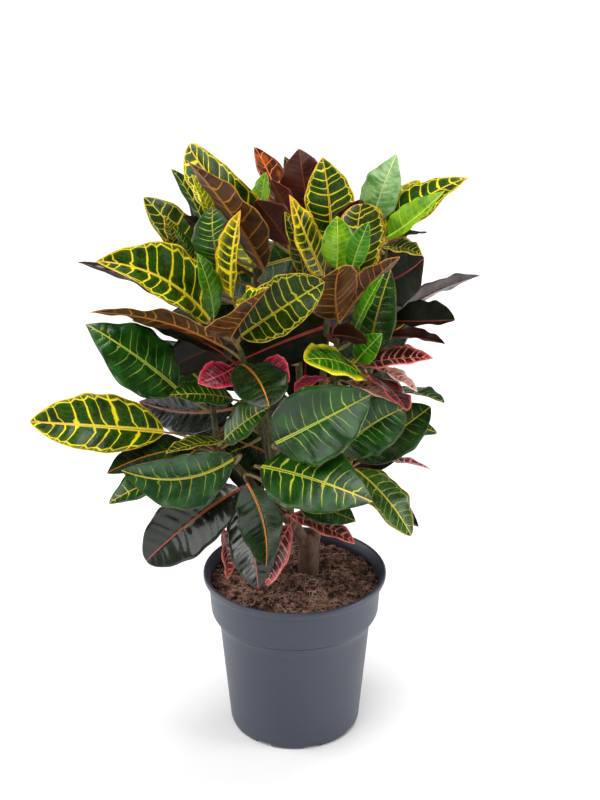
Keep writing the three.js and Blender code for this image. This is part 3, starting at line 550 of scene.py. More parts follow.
def leaf_marks(tree, measure, look):
    """How much of each mark shows at a point of the blade, from 0 to 1, and three noises.

    The mesh carries its measures: millimetres across and along, the share of the half width and of the
    length, millimetres to the margin, the distance to the midrib and to the nearest side vein over half
    the vein's width, and the count of side veins passed (turn). Each vein is a smooth step of such a
    distance. Loops join the side veins at 0.8 to 0.9 of the half width, and a Voronoi edge in the same
    measures gives the net between them.
    """
    across, along, reach, edge = (measure[key] for key in ("across", "along", "reach", "edge"))
    where = add(tree, "CombineXYZ", across, along, measure["seed"])
    patches = add(tree, "TexNoise", Vector=where, Scale=look["patch"], Detail=3.0)
    fine = add(tree, "TexNoise", Vector=where, Scale=0.17, Detail=2.0)
    grain = add(tree, "TexNoise", Vector=where, Scale=0.9, Detail=2.0)

    turn = add(tree, "Math", fine, VEIN_WOBBLE, measure["turn"], **TIMES_PLUS)
    off = add(tree, "Math", turn, 0.5, operation="PINGPONG")
    apart = add(tree, "Math", off, measure["laterals"], **TIMES)
    wide = look["lateral_wide"]
    lateral = add(tree, "MapRange", apart, 0.5 * wide, 1.3 * wide, 1.0, 0.0, **SMOOTH)
    low = look["fade"]
    whole = add(tree, "MapRange", patches, low, low + 0.2, 1.0 - look["broken"], 1.0)
    end = look["lateral_end"]
    ending = add(tree, "MapRange", reach, end - 0.4, end, 1.0, 0.0)
    kept = add(tree, "Math", whole, look["lateral"], **TIMES)
    lateral = add(tree, "Math", lateral, kept, **TIMES)
    lateral = add(tree, "Math", lateral, ending, **TIMES, use_clamp=True)

    bent = add(tree, "Math", off, -0.22, reach, **TIMES_PLUS)
    from_loop = add(tree, "Math", bent, 0.8, operation="SUBTRACT")
    from_loop = add(tree, "Math", from_loop, operation="ABSOLUTE")
    loop = add(tree, "MapRange", from_loop, 0.012, 0.04, look["loops"], 0.0)
    loop = add(tree, "Math", loop, whole, **TIMES)

    beside = add(tree, "Math", across, 0.2, **TIMES)
    onward = add(tree, "Math", turn, 2.3, **TIMES)
    cell = add(tree, "CombineXYZ", beside, onward, measure["seed"])
    cells = add(tree, "TexVoronoi", Vector=cell, Scale=1.0, Randomness=0.9, feature="DISTANCE_TO_EDGE")
    net = add(tree, "MapRange", cells, 0.02, 0.14, look["net"], 0.0, **SMOOTH)
    net = add(tree, "Math", net, whole, **TIMES)

    halo = add(tree, "MapRange", off, 0.06, 0.36, look["halo"], 0.0, **SMOOTH)
    ragged = add(tree, "Math", fine, -2.4, edge, **TIMES_PLUS)
    outer = add(tree, "MapRange", ragged, 0.0, look["outer_wide"], look["outer"], 0.0)
    brim = look["margin_wide"]
    margin = add(tree, "MapRange", ragged, 0.2 * brim - 1.2, brim - 1.0, look["brim"], 0.0)
    rib_wide = look["rib_wide"]
    rib = add(tree, "MapRange", measure["rib"], 0.65 * rib_wide, 1.1 * rib_wide, 1.0, 0.0)
    marks = {"outer": outer, "halo": halo, "net": net, "loop": loop, "lateral": lateral, "margin": margin}
    return {**marks, "rib": rib}, patches, fine, grain


def leaf_skin(name, look):
    """Living croton leaf: a waxy skin over pigment, with coloured veins and a coloured margin.

    It gives the eye a glossy dark skin with bright drawn veins, and a duller, browner back.
    """
    material, tree = new_material(name)
    measure = {key: add(tree, "Attribute", attribute_name=key, pick=2) for key in MEASURES}
    share, upper = measure["share"], measure["upper"]
    marks, patches, fine, grain = leaf_marks(tree, measure, look)

    split = look["blotch"]
    blotch = add(tree, "MapRange", patches, split - 0.07, split + 0.07, **SMOOTH)
    skin = add(tree, "Mix", blotch, linear(look["base"]), linear(look["tint"]), **COLOURS)
    tipward = add(tree, "MapRange", share, 0.5, 1.0)
    ribs = add(tree, "Mix", tipward, linear(look["rib"]), linear(look["rib_tip"]), **COLOURS)
    for mark, key in (
        ("outer", "outer_colour"), ("halo", "halo_colour"), ("net", "net_colour"), ("loop", "vein"),
        ("lateral", "vein"), ("margin", "margin"),
    ):
        skin = add(tree, "Mix", marks[mark], skin, linear(look[key]), **COLOURS)
    skin = add(tree, "Mix", marks["rib"], skin, ribs, **COLOURS)

    back = add(tree, "Mix", blotch, linear(look["under"]), linear(look["under_tint"]), **COLOURS)
    marks["thin"] = add(tree, "Math", marks["lateral"], 2.5, operation="POWER")
    for mark, strength, key in (
        ("net", 0.3, "under_vein"), ("thin", 0.85, "under_vein"), ("margin", 0.8, "under_vein"),
        ("rib", 1.0, "under_rib"),
    ):
        part = add(tree, "Math", marks[mark], strength, **TIMES)
        back = add(tree, "Mix", part, back, linear(look[key]), **COLOURS)
    stalk = add(tree, "MapRange", share, 0.0, 0.001, 0.8, 0.0)
    back = add(tree, "Mix", stalk, back, linear(look["stalk"]), **COLOURS)
    colour = add(tree, "Mix", upper, back, skin, **COLOURS)
    shade = add(tree, "MapRange", grain, 0.3, 0.7, 0.86, 1.14)
    colour = add(tree, "Mix", 1.0, colour, shade, **COLOURS, blend_type="MULTIPLY")

    rough = look["rough"]
    waxy = add(tree, "MapRange", fine, 0.3, 0.7, rough - 0.06, rough + 0.08)
    rough = add(tree, "MapRange", upper, 0.0, 1.0, 0.46, waxy)
    drawn = add(tree, "Math", marks["lateral"], -0.5, grain, **TIMES_PLUS)
    bump = add(tree, "Bump", Strength=0.3, Distance=0.0005, Height=drawn)
    surface = add(
        tree, "BsdfPrincipled", Base_Color=colour, Roughness=rough, Normal=bump,
        Specular_IOR_Level=look["gloss"], Coat_Weight=look["coat"], Coat_Roughness=0.12,
    )
    add(tree, "OutputMaterial", surface)
    return material


MEASURES = ("across", "along", "reach", "edge", "share", "rib", "turn", "laterals", "seed", "upper")
LOOK_COLOURS = ("base", "tint", "vein", "rib", "margin", "under", "under_tint", "under_vein", "under_rib")
# What a kind of leaf has unless its look says otherwise
PLAIN_LOOK = dict(
    stalk="#847048", lateral_wide=1.0, lateral_end=1.4, loops=0.0, net=0.0, halo=0.0, outer=0.0,
    outer_wide=5.0, margin_wide=1.0, brim=1.0, rib_wide=1.0, blotch=0.5, patch=0.045, fade=0.26,
    broken=0.7, spacing=0.1, quilt=0.006, rough=0.24, gloss=0.28, coat=0.05,
)


def leaf_look(colours, **own):
    """The look of a kind of leaf: its colours in the order of LOOK_COLOURS, and its own values.

    The midrib's tip is coloured like the midrib, the net like the veins, and the halo of the veins and
    the outer band like the tint, unless the look gives them a colour of their own.
    """
    look = dict(zip(LOOK_COLOURS, colours.split()))
    same = {"rib_tip": look["rib"], "net_colour": look["vein"]}
    same.update(halo_colour=look["tint"], outer_colour=look["tint"])
    return {**PLAIN_LOOK, **look, **same, **own}


# The kinds of leaf that the plant carries at once, from young lime ones to old dusky ones
LEAF_LOOKS = {
    "net": leaf_look(
        "#0e2a02 #1a4604 #f6e41c #f2da2c #f0c02c #2a140a #44280c #b4742a #a86a2a",
        rib_tip="#e8b03a", net_colour="#7c8412", halo_colour="#4c600a", outer_colour="#7c8412",
        lateral=1.0, lateral_wide=1.1, loops=1.0, net=0.14, halo=0.2, outer=0.55, margin_wide=1.7,
        rib_wide=1.35, blotch=0.46, spacing=0.105, quilt=0.013, gloss=0.24,
    ),
    "netyoung": leaf_look(
        "#3a4a08 #5f6c0e #e4e030 #ece43c #e4d038 #4c5410 #6a6c18 #b8b03c #a8a03c",
        net_colour="#a8ac20", halo_colour="#8c9414", outer_colour="#a4a41c", lateral=1.0, loops=0.8,
        net=0.3, halo=0.3, outer=0.5, margin_wide=1.3, blotch=0.45, quilt=0.009,
    ),
    "netblue": leaf_look(
        "#1c2808 #34400c #e0d030 #ecc832 #e89a30 #2a140a #44280c #b06c2c #9c6828",
        rib_tip="#e8a832", net_colour="#7c8c30", halo_colour="#4c6010", outer_colour="#7c7c20",
        lateral=1.0, lateral_wide=1.15, loops=0.9, net=0.15, halo=0.15, outer=0.5, margin_wide=2.0,
        rib_wide=1.2, quilt=0.011, gloss=0.22,
    ),
    "netolive": leaf_look(
        "#142606 #243a08 #c4bc2c #c4bc30 #ccb030 #2c1c0c #442c10 #94702c #84642c",
        net_colour="#5c641c", halo_colour="#3c500c", lateral=0.95, lateral_wide=0.9, loops=0.8, net=0.14,
        halo=0.2, margin_wide=1.4, rib_wide=1.1, blotch=0.46, quilt=0.011, gloss=0.12, coat=0.02,
    ),
    "mid": leaf_look(
        "#0f3606 #1c4a0c #c4cc34 #d0d838 #7c6c20 #201c0a #2c2a0e #7c6c28 #5c5420",
        rib_tip="#e0a43a", halo_colour="#2c5c10", lateral=0.95, lateral_wide=0.8, lateral_end=0.86,
        halo=0.08, margin_wide=0.8, brim=0.6, rib_wide=1.1, fade=0.36, spacing=0.094, quilt=0.011,
        rough=0.26, gloss=0.3,
    ),
    "fine": leaf_look(
        "#12380a #205012 #a0bc4c #c8dc4c #7c6c20 #201c0a #2c2a0e #7c6c28 #5c5420",
        rib_tip="#b8a840", lateral=0.9, lateral_wide=0.55, lateral_end=0.82, margin_wide=0.8, brim=0.6,
        rib_wide=1.1, fade=0.36, spacing=0.094, quilt=0.016, rough=0.22, gloss=0.36, coat=0.07,
    ),
    "midnet": leaf_look(
        "#143408 #284c10 #a4ac44 #dcd03a #c89430 #2c200c #3a2c10 #94782c #7c682c",
        net_colour="#6c8424", lateral=0.75, lateral_wide=0.6, loops=0.5, net=0.15, halo=0.1,
        margin_wide=1.1, quilt=0.01, gloss=0.26,
    ),
    "fresh": leaf_look(
        "#5a8e40 #84b262 #b8d478 #e8f0a0 #98b850 #4c7428 #5c8434 #94ac50 #a0b458",
        lateral=0.7, lateral_wide=0.6, halo=0.1, margin_wide=0.7, fade=0.36, spacing=0.085, quilt=0.016,
        gloss=0.6, coat=0.45,
    ),
    "young": leaf_look(
        "#508404 #7cac0c #b4d038 #d4e850 #9cbc28 #5c7c14 #6c8c1c #9cb438 #a0b83c",
        halo_colour="#84a814", lateral=0.7, lateral_wide=0.6, halo=0.12, margin_wide=0.7, quilt=0.008,
        rough=0.28,
    ),
    "spring": leaf_look(
        "#245c08 #3c7c0c #98bc38 #b4d04c #80a02c #44681c #547820 #8ca83c #94ac44",
        halo_colour="#54901c", lateral=0.8, lateral_wide=0.6, halo=0.12, margin_wide=0.7, quilt=0.01,
        rough=0.26,
    ),
    "gold": leaf_look(
        "#142c04 #24400a #fae424 #f4e034 #f0a834 #6c5414 #847020 #c09c34 #a88c30",
        rib_tip="#f0a030", net_colour="#bcb01c", halo_colour="#a09c14", outer_colour="#c4b81c",
        lateral=1.0, lateral_wide=1.7, loops=1.0, net=0.2, halo=0.1, outer=0.7, outer_wide=8.0,
        margin_wide=2.2, rib_wide=2.1, blotch=0.48, fade=0.34, broken=0.85, gloss=0.12,
    ),
    "brimmed": leaf_look(
        "#1c5008 #2c6c0c #b8cc30 #c8d838 #f0d824 #4c5c18 #6c6c20 #b0a434 #98943c",
        rib_tip="#ecd828", halo_colour="#4c7c14", outer_colour="#e4dc20", lateral=0.8, lateral_wide=0.75,
        halo=0.1, outer=1.0, outer_wide=9.0, margin_wide=2.4, quilt=0.01, rough=0.26,
    ),
    "dark": leaf_look(
        "#081c04 #102c06 #74641c #dc8c24 #4c3414 #181008 #20180a #583818 #5c3418",
        rib_tip="#cc7022", lateral=0.3, lateral_wide=0.6, lateral_end=0.75, margin_wide=0.7, brim=0.5,
        quilt=0.011,
    ),
    "darkblue": leaf_look(
        "#143610 #224c1c #a0a430 #d4bc34 #7c5820 #1a180c #222010 #6c5c28 #5c5020",
        lateral=0.75, lateral_wide=0.65, lateral_end=0.85, margin_wide=0.8, brim=0.6, fade=0.36,
        quilt=0.012, gloss=0.42,
    ),
    "dusk": leaf_look(
        "#0c1206 #16180c #2c2018 #9c3c34 #3c2018 #200e0a #2c160e #6c2c22 #5c2c20",
        stalk="#5c3428", lateral=0.3, lateral_wide=0.7, lateral_end=1.0, margin_wide=0.7, brim=0.5,
        spacing=0.075, quilt=0.013, rough=0.36, gloss=0.03, coat=0.0,
    ),
    "bronze": leaf_look(
        "#081404 #141c0a #2c2420 #a8602c #342020 #200e0c #2c1610 #6c2c24 #5c2c24",
        rib_tip="#a43c50", stalk="#5c3c30", lateral=0.3, lateral_wide=0.7, lateral_end=1.0,
        margin_wide=0.7, brim=0.5, spacing=0.085, quilt=0.03, gloss=0.3, coat=0.42,
    ),
    "flame": leaf_look(
        "#0a1606 #1c1c0a #f49080 #f4706c #f88c84 #642420 #8c4438 #d07c68 #b45c4c",
        net_colour="#a4504c", halo_colour="#7c1c28", outer_colour="#e0585c", stalk="#8c5444", lateral=0.9,
        lateral_wide=1.5, loops=0.9, net=0.25, halo=0.35, outer=0.9, outer_wide=6.5, margin_wide=2.4,
        blotch=0.55, patch=0.06, fade=0.28, gloss=0.24,
    ),
    "salmon": leaf_look(
        "#3c2418 #dca08c #fcc8b8 #f08c84 #f8c8b0 #642420 #8c4438 #d07c68 #b45c4c",
        net_colour="#e08474", halo_colour="#d07c6c", outer_colour="#fcd8cc", lateral=0.9, lateral_wide=1.6,
        loops=0.9, net=0.35, halo=0.4, outer=0.95, outer_wide=8.0, margin_wide=2.4, patch=0.06, fade=0.28,
        gloss=0.24,
    ),
    "crimson": leaf_look(
        "#180a06 #46121a #d8304c #e4506c #e8586c #6c1820 #8c2830 #d05c64 #b44450",
        net_colour="#a81c34", halo_colour="#7c1424", outer_colour="#c82848", stalk="#944048", lateral=0.9,
        lateral_wide=1.2, loops=0.8, net=0.3, halo=0.3, outer=0.7, margin_wide=1.8, blotch=0.54, fade=0.28,
        gloss=0.24,
    ),
    "flamedark": leaf_look(
        "#0c1606 #201008 #8c3034 #c43c40 #cc4c44 #2c1410 #42201c #8c443c #7c3c34",
        net_colour="#5c1c20", halo_colour="#3c1010", outer_colour="#9c2c34", lateral=0.7, lateral_wide=0.7,
        loops=0.7, net=0.2, halo=0.15, outer=0.5, outer_wide=4.5, margin_wide=1.8, gloss=0.24,
    ),
    "red": leaf_look(
        "#3a1606 #9c4810 #e87c34 #f8743a #a44c1c #3c140a #501c0c #8c3818 #8c3c1c",
        net_colour="#6c2810", halo_colour="#6c280c", stalk="#7c4028", lateral=0.9, lateral_wide=0.9,
        loops=0.5, net=0.15, halo=0.15, rib_wide=1.3, blotch=0.56, rough=0.26, gloss=0.4,
    ),
}
# Which kinds the hidden sides carry, a row for each storey of the bush from the lowest leaves up
LOWEST_STOREY = 300
STOREY = 75
FILL_KINDS = (
    ("dusk", "flame", "dark", "darkblue", "mid"),
    ("mid", "dusk", "flamedark", "dark", "net"),
    ("net", "mid", "gold", "netolive", "dusk"),
    ("young", "net", "red", "netyoung", "fresh"),
)


def lay_over(tree, skin, colour, noise, start, end, most=1.0, **settings):
    """The skin with a colour laid over it where a noise rises from start to end."""
    part = add(tree, "MapRange", noise, start, end, 0.0, most, **settings)
    return add(tree, "Mix", part, skin, linear(colour), **COLOURS)


def pot_plastic():
    """Dark blue-grey polypropylene, injection moulded: a fine grain, faint flow streaks and scuffs."""
    material, tree = new_material("moulded_polypropylene")
    where = add(tree, "TexCoord", pick=3)
    cloud = add(tree, "TexNoise", Vector=where, Scale=9.0, Detail=3.0)
    grain = add(tree, "TexNoise", Vector=where, Scale=1100.0, Detail=1.0)
    stretched = add(tree, "Mapping", Vector=where, Scale=(1.0, 1.0, 14.0))
    scuff = add(tree, "TexNoise", Vector=stretched, Scale=26.0, Detail=6.0, Roughness=0.75)
    skin = add(tree, "Mix", cloud, linear("#2e3341"), linear("#373c4b"), **COLOURS)
    skin = lay_over(tree, skin, "#6e727a", scuff, 0.62, 0.8, 0.25, **SMOOTH)
    rough = add(tree, "MapRange", scuff, 0.0, 1.0, 0.34, 0.56)
    bump = add(tree, "Bump", Strength=0.18, Distance=0.0002, Height=grain)
    surface = add(tree, "BsdfPrincipled", Base_Color=skin, Roughness=rough, IOR=1.49, Normal=bump)
    add(tree, "OutputMaterial", surface)
    return material


def peat():
    """Peat potting soil: dark brown crumbs of several millimetres and pale specks, reddish brown lumps
    that turn pale towards their raised tops, partly the peat's own colour and partly painted highlight,
    and broad random patches that are darker and lighter."""
    material, tree = new_material("peat_potting_soil")
    where = add(tree, "TexCoord", pick=3)
    lumps = add(tree, "TexNoise", Vector=where, Scale=130.0, Detail=7.0, Roughness=0.7)
    crumbs = add(tree, "TexVoronoi", Vector=where, Scale=330.0, Randomness=1.0)
    own = add(tree, "TexVoronoi", Vector=where, Scale=330.0, Randomness=1.0, pick=1)
    # Lighter reddish brown, then pale pinkish brown, where the lump noise that also raises the bump is
    # highest: the peat's own lighter crumbs together with a painted highlight on the raised tops
    skin = lay_over(tree, linear("#180b08"), "#a47866", lumps, 0.4, 0.6, **SMOOTH)
    skin = lay_over(tree, skin, "#b89a88", lumps, 0.56, 0.74, 0.8)
    # Darker and lighter in broad random patches a few centimetres across, from a third to one and a half
    # times the colour
    area = add(tree, "TexNoise", Vector=where, Scale=22.0, Detail=2.0)
    broad_tone = add(tree, "MapRange", area, 0.38, 0.6, 0.34, 1.45)
    skin = add(tree, "Mix", 1.0, skin, broad_tone, **COLOURS, blend_type="MULTIPLY")
    speck = add(tree, "Math", own, 0.88, operation="GREATER_THAN")
    speck = add(tree, "Math", speck, 0.5, **TIMES)
    skin = add(tree, "Mix", speck, skin, linear("#b89c88"), **COLOURS)
    height = add(tree, "Math", lumps, crumbs, operation="ADD")
    bump = add(tree, "Bump", Strength=1.0, Distance=0.003, Height=height)
    dull = {"Roughness": 0.95, "Specular_IOR_Level": 0.2}
    add(tree, "OutputMaterial", add(tree, "BsdfPrincipled", Base_Color=skin, Normal=bump, **dull))
    return material


def dry_fibre():
    """Dry coir and bark fibres: pale straw brown, dull, darker in places."""
    material, tree = new_material("dry_coir_fibre")
    where = add(tree, "TexCoord", pick=3)
    patches = add(tree, "TexNoise", Vector=where, Scale=60.0, Detail=2.0)
    fine = add(tree, "TexNoise", Vector=where, Scale=900.0, Detail=2.0)
    skin = lay_over(tree, linear("#54382c"), "#e4c4aa", patches, 0.35, 0.65)
    bump = add(tree, "Bump", Strength=0.5, Distance=0.0004, Height=fine)
    dull = {"Roughness": 0.9, "Specular_IOR_Level": 0.2}
    add(tree, "OutputMaterial", add(tree, "BsdfPrincipled", Base_Color=skin, Normal=bump, **dull))
    return material


def bark(name, dark, light, green):
    """Croton bark: grey-brown, smooth when young, with short cracks up the stem and ring scars."""
    material, tree = new_material(name)
    where = add(tree, "TexCoord", pick=3)
    long = add(tree, "Mapping", Vector=where, Scale=(1.0, 1.0, 0.45))
    cracks = add(tree, "TexNoise", Vector=long, Scale=260.0, Detail=6.0, Roughness=0.6)
    flat = add(tree, "Mapping", Vector=where, Scale=(0.15, 0.15, 1.0))
    rings = add(tree, "TexNoise", Vector=flat, Scale=150.0, Detail=2.0)
    skin = lay_over(tree, linear(dark), light, cracks, 0.35, 0.65)
    skin = lay_over(tree, skin, green, rings, 0.45, 0.7, 0.8, **SMOOTH)
    height = add(tree, "Math", cracks, rings, operation="ADD")
    bump = add(tree, "Bump", Strength=0.4, Distance=0.001, Height=height)
    dull = {"Roughness": 0.8, "Specular_IOR_Level": 0.3}
    add(tree, "OutputMaterial", add(tree, "BsdfPrincipled", Base_Color=skin, Normal=bump, **dull))
    return material


# Meshes


def grid_faces(rows, columns, first=0, round_rows=False):
    """Quads of a grid of rows by columns points, closed round each row where asked."""
    i = np.arange(rows - 1)[:, None]
    j = np.arange(columns if round_rows else columns - 1)[None, :]
    k = (j + 1) % columns
    a, b = i * columns + j, i * columns + k
    return first + np.stack([a, b, b + columns, a + columns], axis=-1).reshape(-1, 4)


def make_piece(name, points, faces, material, measures=None, uv=None):
    """A mesh object at the origin from points in mm, quads or triangles, and the measures it carries."""
    mesh = bpy.data.meshes.new(name)
    mesh.from_pydata((np.asarray(points) * MM).tolist(), [], [list(map(int, face)) for face in faces])
    mesh.update()
    for key, values in (measures or {}).items():
        layer = mesh.attributes.new(key, "FLOAT", "POINT")
        layer.data.foreach_set("value", np.asarray(values, np.float32).ravel())
    if uv is not None:
        corners = np.empty(len(mesh.loops), np.int32)
        mesh.loops.foreach_get("vertex_index", corners)
        layer = mesh.uv_layers.new(name="UVMap")
        layer.data.foreach_set("uv", np.asarray(uv, np.float32)[corners].ravel())
    mesh.shade_smooth()
    made = new_object(name, mesh)
    made.data.materials.append(material)
    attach(made, "root")
    return made


def cap_faces(rows, sides):
    """Triangles that close a grid of rings at its two ends on the two points that follow it."""
    ring = np.arange(sides)
    ahead = (ring + 1) % sides
    first, last = np.full(sides, rows * sides), np.full(sides, rows * sides + 1)
    start = (rows - 1) * sides
    near, far = [first, ahead, ring], [last, start + ring, start + ahead]
    return np.vstack([np.stack(near, axis=-1), np.stack(far, axis=-1)]).tolist()


def tube(path, radii, sides, across=(1.0, 0.0, 0.0)):
    """A tube: round each point of the path a ring of that radius, square to the path's direction.

    The rings of points, then a cap point at each end; returns points and faces.
    """
    path = np.asarray(path, float)
    ahead = unit(np.gradient(path, axis=0))
    side = unit(np.cross(np.asarray(across, float), ahead))
    other = np.cross(ahead, side)
    angle = np.linspace(0, 2 * np.pi, sides, endpoint=False)[None, :, None]
    radii = np.asarray(radii, float)
    radii = radii[:, None] if radii.ndim == 1 else radii
    ring = np.cos(angle) * side[:, None, :] + np.sin(angle) * other[:, None, :]
    points = (path[:, None, :] + radii[..., None] * ring).reshape(-1, 3)
    faces = grid_faces(len(path), sides, 0, True).tolist() + cap_faces(len(path), sides)
    return np.vstack([points, path[:1], path[-1:]]), faces


def join(parts):
    """Several (points, faces) as one."""
    points, faces, count = [], [], 0
    for part, part_faces in parts:
        points.append(part)
        faces += [[corner + count for corner in face] for face in part_faces]
        count += len(part)
    return np.vstack(points), faces


# The blade's grid, points along by points across: wide leaves, narrow ones and those of the hidden sides
WIDE_LEAF = 45
WIDE_GRID, NARROW_GRID, HIDDEN_GRID = (96, 17), (48, 11), (36, 9)
# Ripple of the margin, sideways as a share of the half width and up and down as one of the length
MARGIN_RIPPLE, FACE_RIPPLE = 0.022, 0.006
# Half widths of a side vein and of the midrib, as shares of the length
SIDE_VEIN, MIDRIB = 0.008, 0.0155
# Depth of the groove over the midrib in mm, and its reach as a share of the length
GROOVE, GROOVE_REACH = 0.55, 0.012
# The forward sweep of the side veins at the midrib, and how much it grows to the margin
VEIN_SWEEP, SWEEP_GROWTH = 0.3, 0.16
# Rings of the stalk and of the ridge under the blade, and the sides of both
STALK_RINGS, RIDGE_RINGS, RIB_SIDES = 8, 16, 8
# Where the ridge starts and ends, as shares of the length, and its depth and radii in mm
RIDGE_START, RIDGE_END = 0.02, 0.93
RIDGE_DEPTH, RIDGE_RADII = 0.55, (1.1, 0.3)
STALK_END_RADIUS = 1.15
# What the stalk and the ridge carry as the distance to the margin and to a side vein: far from both
NO_VEIN = 9.0


def vein_turn(leaf, look, t, v):
    """How many side veins lie before a point of the blade, counted from its base.

    It is the way along the blade, less a forward sweep that grows with the reach, over the spacing,
    with slow sines that start the two sides apart and make the spacing uneven.
    """
    length = leaf_frame(leaf)[0]
    reach = np.abs(v)
    spacing = look["spacing"] * length
    away = half_width(leaf, t) * reach
    even = (t * length - away * (VEIN_SWEEP + SWEEP_GROWTH * reach**2)) / spacing
    side = np.sign(v) * np.clip(reach / 0.2, 0, 1)
    slow = 0.16 * np.sin(1.9 * even + leaf["phase"] + side)
    uneven = slow + 0.1 * np.sin(3.7 * even - 2 * side * leaf["phase"])
    return even + 0.2 * side + uneven, spacing


def sheet_faces(rows, columns):
    """Faces of a closed sheet: its upper and its lower grid of points, joined round the margin."""
    size = rows * columns
    number = np.arange(size).reshape(rows, columns)
    rim = np.concatenate([number[:, 0], number[-1, 1:], number[-2::-1, -1], number[0, -2:0:-1]])
    ahead = np.roll(rim, -1)
    rim_faces = np.stack([rim, rim + size, ahead + size, ahead], axis=-1)
    return np.vstack([grid_faces(rows, columns)[:, ::-1], grid_faces(rows, columns, size), rim_faces])


def leaf_picture(share, wide):
    """Where a leaf's points lie on its flat picture: upper face, lower face beside it, then the rib."""
    rings = STALK_RINGS + RIDGE_RINGS
    rib_round = np.concatenate([np.tile(np.linspace(0.97, 1.0, RIB_SIDES), rings), [0.98, 0.98]])
    rib_run = np.concatenate([np.repeat(np.linspace(0, 1, rings), RIB_SIDES), [0, 1]])
    u = np.concatenate([wide * 0.47, 0.49 + wide * 0.47, rib_round])
    return np.stack([u, np.concatenate([share, share, rib_run])], axis=-1)


def leaf_piece(name, leaf, skin, look):
    """One leaf: blade, stalk and midrib.

    The blade is its middle surface on a grid of shares along and across, offset each way by half its
    thickness, which thins to two fifths at the margin, and joined round it. It sinks along the midrib
    and swells between the side veins, by the square of the sine of the veins' count. Sines of the way
    along move the margin in and out by a few hundredths of the half width, and up and down. The stalk
    bends from the stem into the midrib, which goes on under the blade as a ridge that thins to the tip.
    """
    length, _, _, side = leaf_frame(leaf)
    rows, columns = WIDE_GRID if leaf["width"] > WIDE_LEAF else NARROW_GRID
    if leaf["hidden"]:
        rows, columns = HIDDEN_GRID
    even = np.linspace(0, 1, rows)
    t = np.clip(0.5 * even + 0.25 * (1 - np.cos(np.pi * even)), 0.0015, 0.9985)[:, None]
    v = np.linspace(-1, 1, columns)[None, :]
    hand = np.sign(v)
    ripple = np.sin(31 * t + 3 * hand + leaf["phase"])
    ripple = ripple + 0.7 * np.sin(17 * t - 2 * hand * leaf["phase"])
    ripple = ripple * np.sin(np.pi * t) ** 0.5 * np.abs(v) ** 3
    even_v = np.broadcast_to(v, ripple.shape)
    v = v * (1 + MARGIN_RIPPLE * ripple)
    middle, face, across = blade_points(leaf, t, v)
    t, v = np.broadcast_arrays(t, v)
    reach = np.abs(v)
    half = half_width(leaf, t)
    turn, spacing = vein_turn(leaf, look, t, v)
    groove = GROOVE * np.exp(-((half * reach / (GROOVE_REACH * length)) ** 2)) * np.sin(np.pi * t) ** 0.5
    swell = np.sin(np.pi * turn) ** 2 * np.sqrt(reach) * np.clip(1 - reach**2, 0, 1) * np.sin(np.pi * t)
    swell = swell * (0.75 + 0.25 * np.sin(2.3 * turn + leaf["phase"])) * look["quilt"] * length
    middle = middle + (swell - groove + FACE_RIPPLE * length * ripple)[..., None] * face
    thick = 0.5 * BLADE * (1 - 0.62 * np.minimum(reach, 1) ** 3)
    top = (middle + thick[..., None] * face).reshape(-1, 3)
    bottom = (middle - thick[..., None] * face).reshape(-1, 3)
    size = rows * columns
    blade_faces = sheet_faces(rows, columns)

    stalk = stalk_points(leaf, np.linspace(0, 1, STALK_RINGS + 1))
    ridge_at = np.linspace(RIDGE_START, RIDGE_END, RIDGE_RINGS)
    ridge, ridge_face, _ = blade_points(leaf, ridge_at, np.zeros(RIDGE_RINGS))
    path = np.vstack([stalk[:-1], ridge - RIDGE_DEPTH * ridge_face])
    stalk_radii = np.linspace(STALK_RADIUS[0], STALK_END_RADIUS, STALK_RINGS)
    radii = np.concatenate([stalk_radii, np.linspace(*RIDGE_RADII, RIDGE_RINGS)])
    rib_points, rib_faces = tube(path, radii, RIB_SIDES, across=side)
    points, faces = join([(np.vstack([top, bottom]), blade_faces.tolist()), (rib_points, rib_faces)])
    low, high = np.array(cad_box) / MM
    points = points + np.maximum(low - points.min(axis=0), 0) - np.maximum(points.max(axis=0) - high, 0)

    ribs = len(rib_points)
    on_stalk = np.zeros(STALK_RINGS * RIB_SIDES)
    rib_share = np.concatenate([on_stalk, np.repeat(ridge_at, RIB_SIDES), [0, RIDGE_END]])
    vein = SIDE_VEIN * length * (1.15 - 0.85 * reach)
    midrib = MIDRIB * length * (1.1 - 0.8 * t)
    on_blade = {
        "across": half * v, "along": t * length, "reach": reach, "edge": half * (1 - np.abs(even_v)),
        "share": t, "rib": half * reach / midrib, "turn": turn, "laterals": spacing / vein,
    }
    on_rib = {
        "along": rib_share * length, "share": rib_share,
        "edge": np.full(ribs, NO_VEIN), "laterals": np.full(ribs, NO_VEIN),
    }
    measures = {
        key: np.concatenate([value.ravel(), value.ravel(), on_rib.get(key, np.zeros(ribs))])
        for key, value in on_blade.items()
    }
    measures["seed"] = np.full(len(points), 50 * ((leaf["phase"] * 0.731) % 1.0))
    measures["upper"] = np.concatenate([np.ones(size), np.zeros(size + ribs)])
    picture = leaf_picture(t.ravel(), (0.5 + 0.5 * v).ravel())
    return make_piece(name, points, faces, skin, measures, picture)


STEM_RINGS, STEM_SIDES = 90, 14
# Leaf scars: their spacing, how much they swell, and the square of their width
SCAR_SPACING, SCAR_SWELL, SCAR_WIDE = 11, 0.3, 1.2


